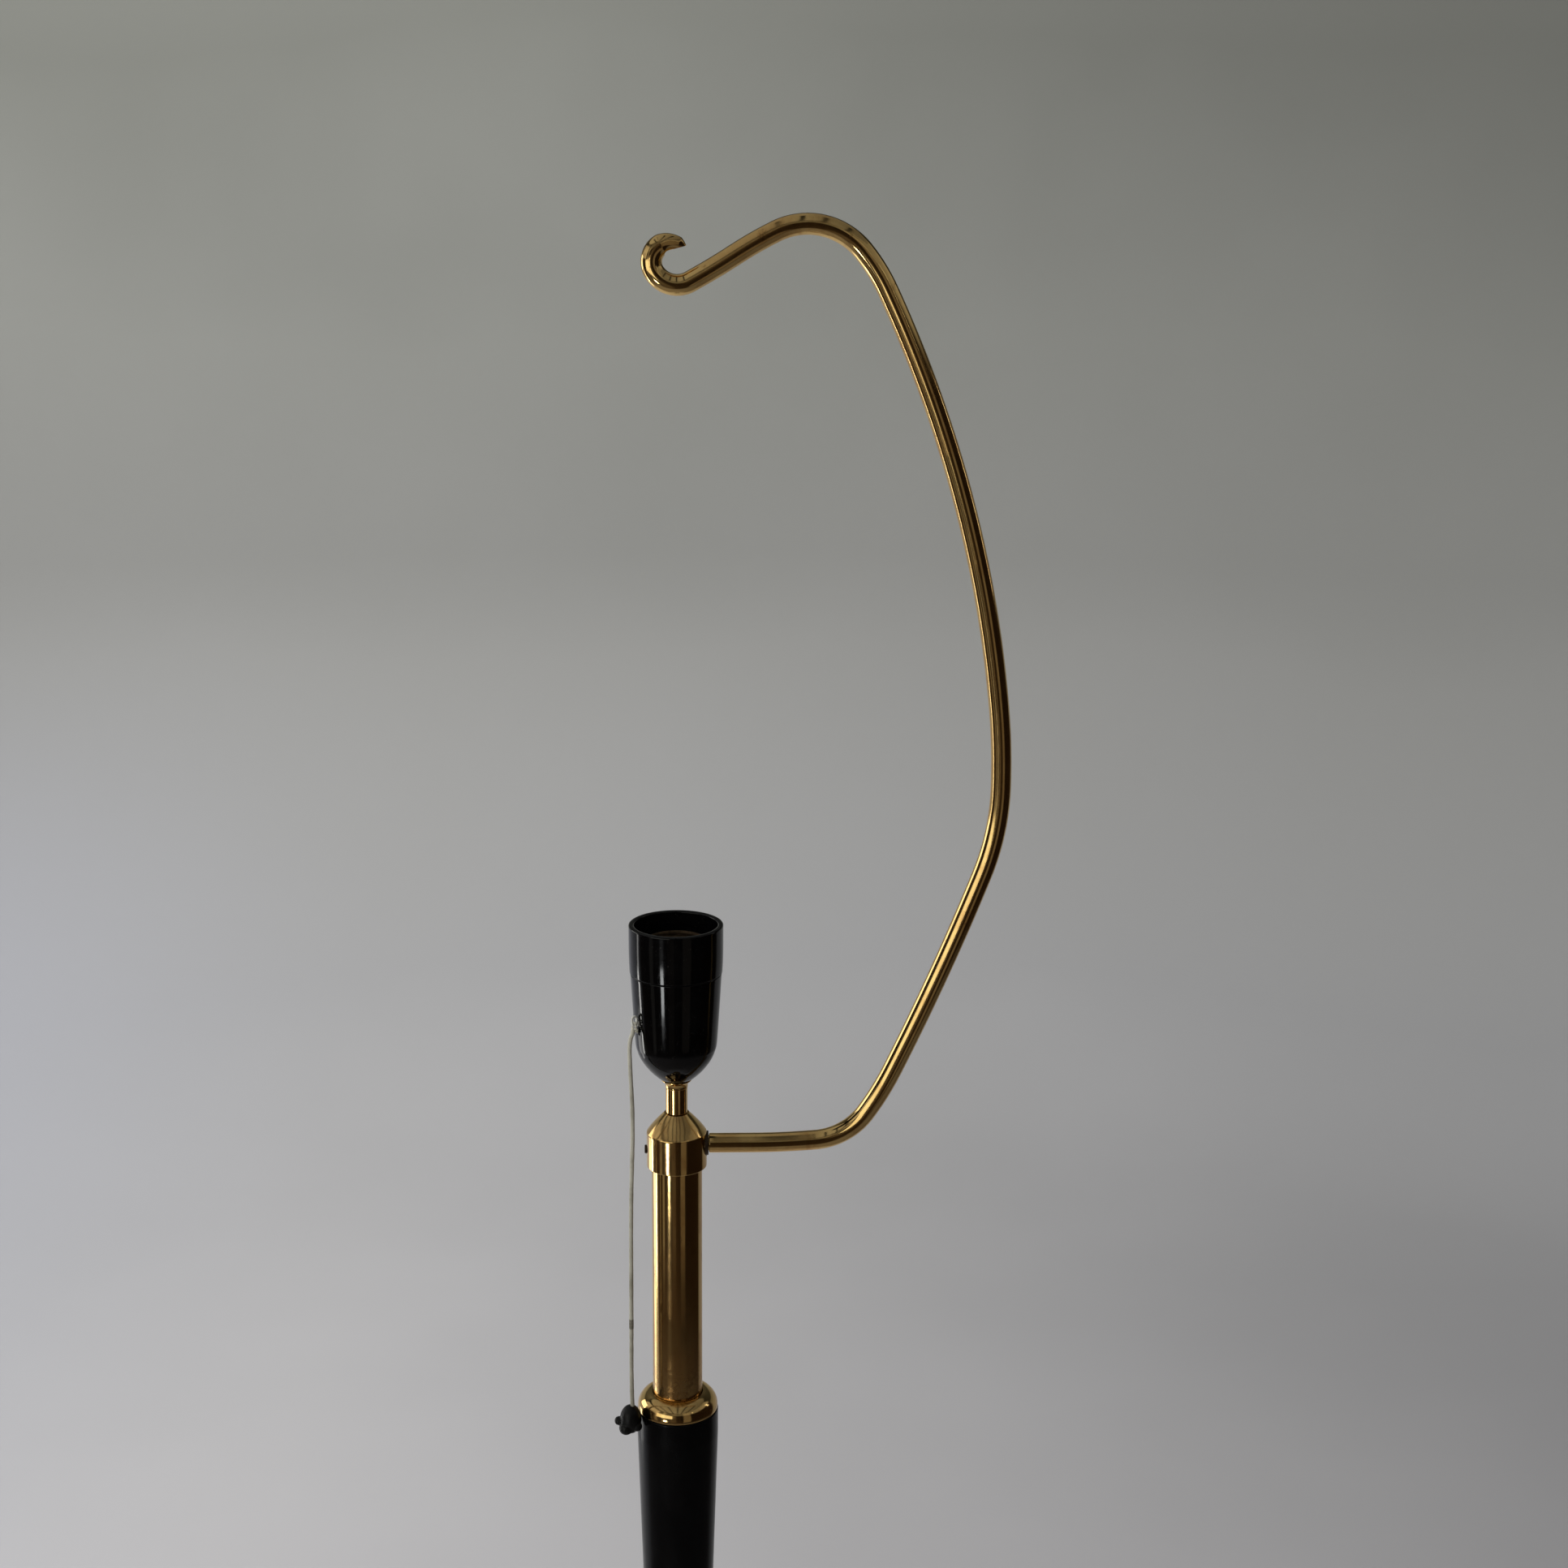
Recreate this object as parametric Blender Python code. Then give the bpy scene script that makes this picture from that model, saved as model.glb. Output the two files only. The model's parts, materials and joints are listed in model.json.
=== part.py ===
"""Brass floor lamp with a pull-cord lampholder and a bent shade arm.

The origin is on the floor under the middle of the base, +Z is up and the arm leaves
the head towards +X. All sizes are real sizes in metres.
"""

import math

import bpy
import bmesh
from mathutils import Vector

# Clearances and facet counts

SEAT_GAP = 0.0003
RUNNING_GAP = 0.0002
CUT_OVERRUN = 0.002
BASE_FACETS = 48
COLUMN_FACETS = 36
SMALL_FACETS = 24
TINY_FACETS = 16
SMOOTH_ANGLE = math.radians(35)

# Base

BASE_DIAMETER = 0.250
COVER_WALL = 0.0012
COVER_HEM_HEIGHT = 0.0012
COVER_SKIRT_HEIGHT = 0.0160
COVER_SHOULDER_RADIUS = 0.0050
COVER_CROWN_HEIGHT = 0.0300
COVER_CROWN_RADIUS = 0.0260
FELT_THICKNESS = 0.0025
FELT_INSET = 0.0035
WEIGHT_INSET = 0.0065
WEIGHT_EDGE_HEIGHT = 0.0165
WEIGHT_CHAMFER = 0.0015
WEIGHT_HUB_RADIUS = 0.0280
WEIGHT_TOP_CLEARANCE = 0.0015
COUNTERBORE_RADIUS = 0.0170
COUNTERBORE_DEPTH = 0.0137
WASHER_RADIUS = 0.0140
WASHER_THICKNESS = 0.0020
TIE_NUT_FLATS = 0.0170
BASE_NUT_HEIGHT = 0.0080
INLET_HEIGHT = 0.0090
INLET_BORE_RADIUS = 0.0034
INLET_SHANK_RADIUS = 0.0052
INLET_FLANGE_RADIUS = 0.0066
INLET_FLANGE_THICKNESS = 0.0014
INLET_SHANK_LENGTH = 0.0088
CHANNEL_SIDE_CLEARANCE = 0.0005

# Column

TIE_ROD_RADIUS = 0.0050
TIE_ROD_BORE_RADIUS = 0.0035
TIE_ROD_END = 0.0010
FOOT_HEIGHT = 0.0140
FOOT_FLANGE_RADIUS = 0.0240
FOOT_FLANGE_HEIGHT = 0.0022
FOOT_NECK_RADIUS = 0.0124
TUBE_SOCKET_DEPTH = 0.0080
LOWER_TUBE_RADIUS = 0.0095
LOWER_TUBE_WALL = 0.0012
LOWER_TUBE_LENGTH = 0.5622
FERRULE_HEIGHT = 0.0150
FERRULE_FOOT_RADIUS = 0.0108
FERRULE_HEAD_RADIUS = 0.0120
STEM_LENGTH = 0.3400
STEM_TOP_RADIUS = 0.02105
STEM_FOOT_RADIUS = 0.01125
STEM_EDGE_ROUND = 0.0008
STEM_STRAIGHT_LENGTH = 0.0140
RING_RADIUS = 0.0208
RING_LAND_HEIGHT = 0.0010
RING_CROWN_HEIGHT = 0.0080
UPPER_TUBE_RADIUS = 0.01285
UPPER_TUBE_WALL = 0.0010
UPPER_TUBE_LENGTH = 0.1390
TUBE_BUSH_HEIGHT = 0.0220
TIE_NUT_HEIGHT = 0.0050

# Head

SPIGOT_RADIUS = 0.0085
SPIGOT_HEIGHT = 0.0108
SPIGOT_SHANK_LENGTH = 0.0240
SPIGOT_BORE_RADIUS = 0.0042
SPIGOT_GROOVE_RADIUS = 0.0079
SPIGOT_GROOVE_WIDTH = 0.0052
COLLAR_RADIUS = 0.01525
COLLAR_TOP_RADIUS = 0.0063
COLLAR_HEIGHT = 0.0285
COLLAR_CONE_HEIGHT = 0.0105
COLLAR_LIP_DEPTH = 0.0040
COLLAR_EDGE_ROUND = 0.0004
SET_SCREW_HEIGHT = 0.0085
SET_SCREW_RADIUS = 0.0022
SET_SCREW_PROUD = 0.0010
SCREW_SLOT_WIDTH = 0.0007
SCREW_SLOT_DEPTH = 0.0008
NIPPLE_RADIUS = 0.0040
NIPPLE_BORE_RADIUS = 0.0026
SPACER_RADIUS = 0.0055
SPACER_LENGTH = 0.0133
CUP_HEIGHT = 0.0041
CUP_TOP_RADIUS = 0.0076
CUP_FOOT_RADIUS = 0.0057

# Shade arm, bent like a table of straight runs and bends

ARM_RADIUS = 0.0050
ARM_HEIGHT = 0.0117
ARM_STUD_RADIUS = 0.0040
ARM_STUD_START = 0.0092
ARM_SEAT_FACE = 0.0139
ARM_NUT_RADIUS = 0.0062
ARM_NUT_THICKNESS = 0.0019
ARM_RUN_LENGTH = 0.0213
ARM_RUN_EASE_LENGTH = 0.0325
ARM_RUN_EASE_ANGLE = 4.65
ARM_FOOT_BEND_LENGTH = 0.0301
ARM_FOOT_BEND_ANGLE = 50.75
ARM_FOOT_EASE_LENGTH = 0.0267
ARM_FOOT_EASE_ANGLE = 9.75
ARM_RISE_LENGTH = 0.1104
ARM_RISE_ANGLE = 4.6
ARM_ELBOW_LENGTH = 0.0456
ARM_ELBOW_ANGLE = 19.95
ARM_ELBOW_EASE_LENGTH = 0.0385
ARM_ELBOW_EASE_ANGLE = 6.5
ARM_BOW_LENGTH = 0.2082
ARM_BOW_ANGLE = 20.05
ARM_SHOULDER_LENGTH = 0.0212
ARM_SHOULDER_ANGLE = 13.95
ARM_CROWN_LENGTH = 0.0446
ARM_CROWN_ANGLE = 76.1
ARM_CROWN_EASE_LENGTH = 0.0213
ARM_CROWN_EASE_ANGLE = 6.4
ARM_FALL_LENGTH = 0.0243
ARM_FALL_ANGLE = -4.15
HOOK_EASE_LENGTH = 0.0176
HOOK_EASE_ANGLE = -80.5
HOOK_BEND_RADIUS = 0.00895
HOOK_BEND_ANGLE = -98.0
HOOK_TAPER_ANGLE = -32.7
HOOK_TAPER_RADIUS = 0.0038
HOOK_NOSE_BEND_RADIUS = 0.0115
HOOK_NOSE_ANGLE = -18.0
HOOK_NOSE_RADIUS = 0.0031
HOOK_TIP_ANGLE = -15.0
HOOK_TIP_RADIUS = 0.0010
HOOK_CUT_LENGTH = 0.0082
HOOK_CUT_RISE = 0.0004
HOOK_CUT_SLOPE = 0.27
HOOK_CUT_CORNER = 0.0011
HOOK_CUT_DEPTH = 0.0050
ARM_RING_TURN = 8.0
ARM_RING_SPACING = 0.0260
ARM_FACETS = 16

# Lampholder, heights counted down from its rim

HOLDER_HEIGHT = 0.0812
RIM_RADIUS = 0.0235
RIM_WALL = 0.0029
RIM_ROUND = 0.0009
SKIRT_HEIGHT = 0.0247
SKIRT_FOOT_RADIUS = 0.0231
SKIRT_FLANGE_DEPTH = 0.0109
SKIRT_FLANGE_THICKNESS = 0.0013
SKIRT_THREAD_RADIUS = 0.0195
SHELL_RADIUS = 0.0139
SHELL_WALL = 0.0006
SHELL_LIP = 0.0004
SHELL_TOP_DEPTH = 0.0080
SHELL_CLEARANCE = 0.0005
CORE_WALL = 0.0010
CORE_FLOOR_DEPTH = 0.0330
CORE_SHOULDER_DEPTH = 0.0340
CORE_RADIUS = 0.0172
CORE_FOOT_DEPTH = 0.0457
BODY_TOP_RADIUS = 0.0228
BODY_THREAD_DEPTH = 0.0130
BODY_BORE_RADIUS = 0.0176
BODY_CAVITY_RADIUS = 0.0162
BODY_FLOOR_THICKNESS = 0.0037
BODY_FLOOR_RADIUS = 0.0088
BODY_FOOT_RADIUS = 0.0076
BODY_SHOULDER_DEPTH = 0.0608
BODY_SHOULDER_RADIUS = 0.02055
HOLDER_NUT_FLATS = 0.0130
HOLDER_NUT_HEIGHT = 0.0040

# Pull switch, distances counted outwards from the lamp's axis

PULL_AZIMUTH = math.radians(210)
PIVOT_OUT = 0.0080
PIVOT_DEPTH = 0.0540
PIN_RADIUS = 0.0010
PIN_LENGTH = 0.0180
EAR_INNER = 0.0070
EAR_THICKNESS = 0.0022
EAR_LENGTH = 0.0090
EAR_DEPTH = 0.0110
LEVER_THICKNESS = 0.0012
LEVER_HUB_RADIUS = 0.0030
LEVER_ARM_HEIGHT = 0.0024
LEVER_TRAVEL = math.radians(18)
EYE_OUT = 0.02375
EYE_DEPTH = 0.0467
EYE_WIDTH = 0.0034
EYE_HEIGHT = 0.0066
EYE_RIM = 0.0009
SLOT_WIDTH = 0.0026
SLOT_MARGIN = 0.0005
ROTOR_RADIUS = 0.0044
ROTOR_TOOTH_DEPTH = 0.0009
ROTOR_TEETH = 8
ROTOR_WIDTH = 0.0048
ROTOR_SIDE_CLEARANCE = 0.0007
SPRING_RADIUS = 0.0018
SPRING_WIRE_RADIUS = 0.00035
SPRING_TURNS = 3.5
SPRING_PITCH = 0.0012
TERMINAL_OUT = 0.0075
TERMINAL_SIDE = 0.0055
TERMINAL_WIDTH = 0.0050
TERMINAL_HEIGHT = 0.0050
TERMINAL_SCREW_RADIUS = 0.0013
TERMINAL_SCREW_LENGTH = 0.0036
TERMINAL_HEAD_RADIUS = 0.0019
TERMINAL_HEAD_HEIGHT = 0.0012
CONTACT_THICKNESS = 0.0005
CONTACT_WIDTH = 0.0040
CONTACT_RISE = 0.0056
CONTACT_REACH = 0.0080

# Pull cord and its knob

CORD_RADIUS = 0.0011
CORD_STEP = 0.0055
KNOT_RADIUS = 0.0015
KNOT_OUT = 0.0233
KNOB_RADIUS = 0.0050
KNOB_HEIGHT = 0.0156
KNOB_FRONT_LOBE_RADIUS = 0.0036
KNOB_SIDE_LOBE_RADIUS = 0.0028
KNOB_NUB_RADIUS = 0.0021
KNOB_OFFSET = 0.0011
KNOB_SOCKET_DEPTH = 0.0026

# Centreline of the pull cord in metres, from the knot down to the knob

CORD_ROUTE = [
    (-0.02135, -0.01233, 1.15690),
    (-0.02210, -0.01250, 1.15550),
    (-0.02270, -0.01260, 1.15270),
    (-0.02295, -0.01260, 1.14920),
    (-0.02290, -0.01260, 1.14370),
    (-0.02250, -0.01260, 1.13250),
    (-0.02200, -0.01255, 1.12100),
    (-0.02185, -0.01250, 1.11000),
    (-0.02200, -0.01250, 1.09800),
    (-0.02240, -0.01255, 1.08500),
    (-0.02280, -0.01260, 1.07000),
    (-0.02305, -0.01260, 1.05400),
    (-0.02315, -0.01260, 1.03800),
    (-0.02320, -0.01260, 1.02200),
    (-0.02330, -0.01260, 1.00600),
    (-0.02340, -0.01260, 0.99000),
    (-0.02350, -0.01260, 0.97500),
    (-0.02340, -0.01260, 0.96200),
    (-0.02320, -0.01260, 0.95450),
    (-0.02320, -0.01260, 0.95180),
]

# Heights above the floor, each worked out from the piece below it

WEIGHT_FOOT_Z = FELT_THICKNESS + SEAT_GAP
COUNTERBORE_Z = WEIGHT_FOOT_Z + COUNTERBORE_DEPTH
WASHER_Z = COUNTERBORE_Z - SEAT_GAP - WASHER_THICKNESS
BASE_NUT_Z = WASHER_Z - SEAT_GAP - BASE_NUT_HEIGHT
FOOT_Z = COVER_CROWN_HEIGHT + SEAT_GAP
LOWER_TUBE_Z = FOOT_Z + FOOT_HEIGHT - TUBE_SOCKET_DEPTH + SEAT_GAP
FERRULE_Z = LOWER_TUBE_Z + LOWER_TUBE_LENGTH + SEAT_GAP - TUBE_SOCKET_DEPTH
STEM_Z = FERRULE_Z + FERRULE_HEIGHT + SEAT_GAP
STEM_TOP_Z = STEM_Z + STEM_LENGTH
UPPER_TUBE_Z = STEM_TOP_Z + SEAT_GAP
UPPER_TUBE_TOP_Z = UPPER_TUBE_Z + UPPER_TUBE_LENGTH
TIE_NUT_Z = UPPER_TUBE_Z + TUBE_BUSH_HEIGHT + SEAT_GAP
COLLAR_Z = UPPER_TUBE_TOP_Z + SEAT_GAP - COLLAR_LIP_DEPTH
COLLAR_TOP_Z = COLLAR_Z + COLLAR_HEIGHT
SPACER_Z = COLLAR_TOP_Z + SEAT_GAP
CUP_Z = SPACER_Z + SPACER_LENGTH + SEAT_GAP
HOLDER_Z = CUP_Z + CUP_HEIGHT + SEAT_GAP
RIM_Z = HOLDER_Z + HOLDER_HEIGHT


def clear_scene():
    for item in list(bpy.data.objects):
        bpy.data.objects.remove(item, do_unlink=True)


def make_material(name, colour, roughness, metallic=0.0):
    material = bpy.data.materials.new(name)
    material.use_nodes = True
    shader = material.node_tree.nodes["Principled BSDF"]
    shader.inputs["Base Color"].default_value = (*colour, 1.0)
    shader.inputs["Roughness"].default_value = roughness
    shader.inputs["Metallic"].default_value = metallic
    return material


def make_materials():
    return {
        "brass": make_material("polished_brass", (0.80, 0.58, 0.25), 0.18, 1.0),
        "bakelite": make_material("black_bakelite", (0.012, 0.012, 0.014), 0.16),
        "lacquer": make_material("black_lacquered_wood", (0.016, 0.015, 0.016), 0.42),
        "iron": make_material("cast_iron", (0.12, 0.12, 0.12), 0.75, 1.0),
        "steel": make_material("zinc_steel", (0.62, 0.62, 0.60), 0.32, 1.0),
        "dark_steel": make_material("blackened_steel", (0.05, 0.045, 0.04), 0.45, 1.0),
        "porcelain": make_material("porcelain", (0.86, 0.84, 0.79), 0.30),
        "felt": make_material("green_felt", (0.05, 0.09, 0.06), 0.95),
        "cord": make_material("braided_cord", (0.55, 0.54, 0.48), 0.85),
    }


def make_empty(name, location, parent=None, turn=0.0):
    empty = bpy.data.objects.new(name, None)
    bpy.context.scene.collection.objects.link(empty)
    empty.location = location
    empty.rotation_euler = (0.0, 0.0, turn)
    empty.parent = parent
    return empty


def make_object(name, bm, material):
    bmesh.ops.recalc_face_normals(bm, faces=bm.faces)
    mesh = bpy.data.meshes.new(name)
    bm.to_mesh(mesh)
    bm.free()
    if material is not None:
        mesh.materials.append(material)
    item = bpy.data.objects.new(name, mesh)
    bpy.context.scene.collection.objects.link(item)
    smooth(item)
    return item


def smooth(item):
    item.data.shade_smooth()
    item.data.set_sharp_from_angle(angle=SMOOTH_ANGLE)


def place(item, parent, location=(0.0, 0.0, 0.0), rotation=(0.0, 0.0, 0.0)):
    item.parent = parent
    item.location = location
    item.rotation_euler = rotation
    return item


def combine(target, tool, operation):
    """Joins tool to target, or cuts it out, and removes the tool."""
    modifier = target.modifiers.new("combine", "BOOLEAN")
    modifier.solver = "EXACT"
    modifier.operation = operation
    modifier.object = tool
    bpy.context.view_layer.update()
    graph = bpy.context.evaluated_depsgraph_get()
    result = bpy.data.meshes.new_from_object(target.evaluated_get(graph))
    target.modifiers.remove(modifier)
    material = target.data.materials[0]
    target.data = result
    result.materials.clear()
    result.materials.append(material)
    bpy.data.objects.remove(tool, do_unlink=True)
    smooth(target)
    return target


def cut(target, tool):
    return combine(target, tool, "DIFFERENCE")


def join(target, tool):
    return combine(target, tool, "UNION")


def lathe(name, outline, facets, material):
    """Turns a closed outline of (radius, height) points about +Z."""
    bm = bmesh.new()
    rings = []
    for radius, height in outline:
        if radius == 0:
            rings.append([bm.verts.new((0.0, 0.0, height))])
            continue
        ring = []
        for step in range(facets):
            angle = math.tau * step / facets
            ring.append(bm.verts.new((radius * math.cos(angle), radius * math.sin(angle), height)))
        rings.append(ring)
    for index, ring in enumerate(rings):
        after = rings[(index + 1) % len(rings)]
        if len(ring) == 1 and len(after) == 1:
            continue
        for step in range(facets):
            following = (step + 1) % facets
            corners = [ring[step % len(ring)], ring[following % len(ring)],
                       after[following % len(after)], after[step % len(after)]]
            unique = list(dict.fromkeys(corners))
            bm.faces.new(unique)
    return make_object(name, bm, material)


def tube(name, outer, inner, low, high, facets, material):
    outline = [(outer, low), (outer, high), (inner, high), (inner, low)]
    return lathe(name, outline, facets, material)


def rod(name, radius, low, high, facets, material):
    outline = [(0.0, low), (radius, low), (radius, high), (0.0, high)]
    return lathe(name, outline, facets, material)


def prism(name, points, low, high, material):
    """Raises a closed outline of (x, y) points from low to high along +Z."""
    bm = bmesh.new()
    bottom = [bm.verts.new((x, y, low)) for x, y in points]
    top = [bm.verts.new((x, y, high)) for x, y in points]
    bm.faces.new(list(reversed(bottom)))
    bm.faces.new(top)
    for index in range(len(points)):
        after = (index + 1) % len(points)
        bm.faces.new([bottom[index], bottom[after], top[after], top[index]])
    return make_object(name, bm, material)


def block(name, low, high, material):
    points = [(low[0], low[1]), (high[0], low[1]), (high[0], high[1]), (low[0], high[1])]
    return prism(name, points, low[2], high[2], material)


def ball(name, radii, centre, facets, material):
    bm = bmesh.new()
    bmesh.ops.create_uvsphere(bm, u_segments=facets, v_segments=facets // 2 + 2, radius=1.0)
    for vert in bm.verts:
        vert.co = Vector([vert.co[axis] * radii[axis] + centre[axis] for axis in range(3)])
    return make_object(name, bm, material)


def upright_to_side(item):
    """Lays a piece built along +Z down, so that it runs along the local +Y."""
    for vert in item.data.vertices:
        vert.co = Vector((vert.co.x, vert.co.z, -vert.co.y))
    return item


def upright_to_out(item):
    """Lays a piece built along +Z down, so that it runs along the local +X."""
    for vert in item.data.vertices:
        vert.co = Vector((vert.co.z, vert.co.y, -vert.co.x))
    return item


def stand_up(item):
    """Turns a piece drawn as (x, z) outlines so that its outline stands upright."""
    for vert in item.data.vertices:
        vert.co = Vector((vert.co.x, -vert.co.z, vert.co.y))
    return item


def hexagon(flats):
    corner = flats / math.sqrt(3)
    return [(corner * math.cos(math.radians(60 * k)), corner * math.sin(math.radians(60 * k))) for k in range(6)]


def hex_nut(name, flats, bore, low, height, material):
    nut = prism(name, hexagon(flats), low, low + height, material)
    return cut(nut, rod("nut_bore", bore, low - CUT_OVERRUN, low + height + CUT_OVERRUN, TINY_FACETS, material))


def arc_points(centre, radii, start, end, steps):
    points = []
    for step in range(steps + 1):
        angle = math.radians(start + (end - start) * step / steps)
        points.append((centre[0] + radii[0] * math.cos(angle), centre[1] + radii[1] * math.sin(angle)))
    return points


# Base pieces


def cover_height(radius):
    """Outer height of the spun cover between its shoulder and its flat crown."""
    shoulder_top = COVER_SKIRT_HEIGHT + COVER_SHOULDER_RADIUS
    shoulder_out = BASE_DIAMETER / 2 - COVER_SHOULDER_RADIUS
    way = max(0.0, (radius - COVER_CROWN_RADIUS) / (shoulder_out - COVER_CROWN_RADIUS))
    return COVER_CROWN_HEIGHT - (COVER_CROWN_HEIGHT - shoulder_top) * way ** 2


COVER_RING_SHARES = (0.82, 0.60, 0.35, 0.0)


def cover_radii():
    shoulder_out = BASE_DIAMETER / 2 - COVER_SHOULDER_RADIUS
    return [COVER_CROWN_RADIUS + share * (shoulder_out - COVER_CROWN_RADIUS) for share in COVER_RING_SHARES]


def build_base(finish):
    pieces = []
    felt = rod("base_felt", BASE_DIAMETER / 2 - FELT_INSET, 0.0, FELT_THICKNESS, BASE_FACETS, finish["felt"])
    pieces.append(felt)

    bore = TIE_ROD_RADIUS + SEAT_GAP
    edge = BASE_DIAMETER / 2 - WEIGHT_INSET
    drop = COVER_WALL + WEIGHT_TOP_CLEARANCE
    outline = [(bore, COUNTERBORE_Z), (COUNTERBORE_RADIUS, COUNTERBORE_Z), (COUNTERBORE_RADIUS, WEIGHT_FOOT_Z),
               (edge - WEIGHT_CHAMFER, WEIGHT_FOOT_Z), (edge, WEIGHT_FOOT_Z + WEIGHT_CHAMFER),
               (edge, WEIGHT_EDGE_HEIGHT)]
    outline += [(radius, cover_height(radius) - drop) for radius in cover_radii()[:-1]]
    hub_top = COVER_CROWN_HEIGHT - COVER_WALL - SEAT_GAP
    outline += [(WEIGHT_HUB_RADIUS, cover_height(WEIGHT_HUB_RADIUS) - drop),
                (COVER_CROWN_RADIUS - WEIGHT_TOP_CLEARANCE, hub_top), (bore, hub_top)]
    weight = lathe("base_weight", outline, BASE_FACETS, finish["iron"])
    channel_half = INLET_SHANK_RADIUS + CHANNEL_SIDE_CLEARANCE
    channel = block("channel", (-channel_half, 0.0, WEIGHT_FOOT_Z - CUT_OVERRUN),
                    (channel_half, edge + CUT_OVERRUN, INLET_HEIGHT + channel_half), finish["iron"])
    pieces.append(cut(weight, channel))

    pieces.append(tube("base_washer", WASHER_RADIUS, bore, WASHER_Z, WASHER_Z + WASHER_THICKNESS,
                       SMALL_FACETS, finish["steel"]))
    pieces.append(hex_nut("base_nut", TIE_NUT_FLATS, bore, BASE_NUT_Z, BASE_NUT_HEIGHT, finish["steel"]))

    pieces.append(build_cover(finish))
    pieces.append(build_inlet_bush(finish))
    return pieces


def build_cover(finish):
    skirt = BASE_DIAMETER / 2
    shoulder = (skirt - COVER_SHOULDER_RADIUS, COVER_SKIRT_HEIGHT)
    bore = TIE_ROD_RADIUS + SEAT_GAP
    outer = [(skirt, COVER_HEM_HEIGHT)]
    outer += arc_points(shoulder, (COVER_SHOULDER_RADIUS, COVER_SHOULDER_RADIUS), 0, 90, 3)
    outer += [(radius, cover_height(radius)) for radius in cover_radii()]
    outer += [(bore, COVER_CROWN_HEIGHT)]
    inner_round = COVER_SHOULDER_RADIUS - COVER_WALL
    inner = [(skirt - COVER_WALL, COVER_HEM_HEIGHT)]
    inner += arc_points(shoulder, (inner_round, inner_round), 0, 90, 3)
    inner += [(radius, cover_height(radius) - COVER_WALL) for radius in cover_radii()]
    inner += [(bore, COVER_CROWN_HEIGHT - COVER_WALL)]
    cover = lathe("base_cover", outer + inner[::-1], BASE_FACETS, finish["brass"])
    hole = rod("inlet_hole", INLET_SHANK_RADIUS + SEAT_GAP, skirt - COVER_SHOULDER_RADIUS, skirt + CUT_OVERRUN,
               TINY_FACETS, finish["brass"])
    upright_to_side(hole)
    shift(hole, (0.0, 0.0, INLET_HEIGHT))
    return cut(cover, hole)


def shift(item, step):
    for vert in item.data.vertices:
        vert.co = vert.co + Vector(step)
    return item


def build_inlet_bush(finish):
    face = BASE_DIAMETER / 2 + SEAT_GAP
    outer = face + INLET_FLANGE_THICKNESS
    lead = INLET_FLANGE_THICKNESS / 2
    outline = [(INLET_BORE_RADIUS, face - INLET_SHANK_LENGTH), (INLET_SHANK_RADIUS, face - INLET_SHANK_LENGTH),
               (INLET_SHANK_RADIUS, face), (INLET_FLANGE_RADIUS, face), (INLET_FLANGE_RADIUS, outer - lead),
               (INLET_FLANGE_RADIUS - lead, outer), (INLET_BORE_RADIUS + lead, outer),
               (INLET_BORE_RADIUS, outer - lead)]
    bush = lathe("inlet_bush", outline, TINY_FACETS, finish["bakelite"])
    upright_to_side(bush)
    return shift(bush, (0.0, 0.0, INLET_HEIGHT))


# Column pieces


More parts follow.
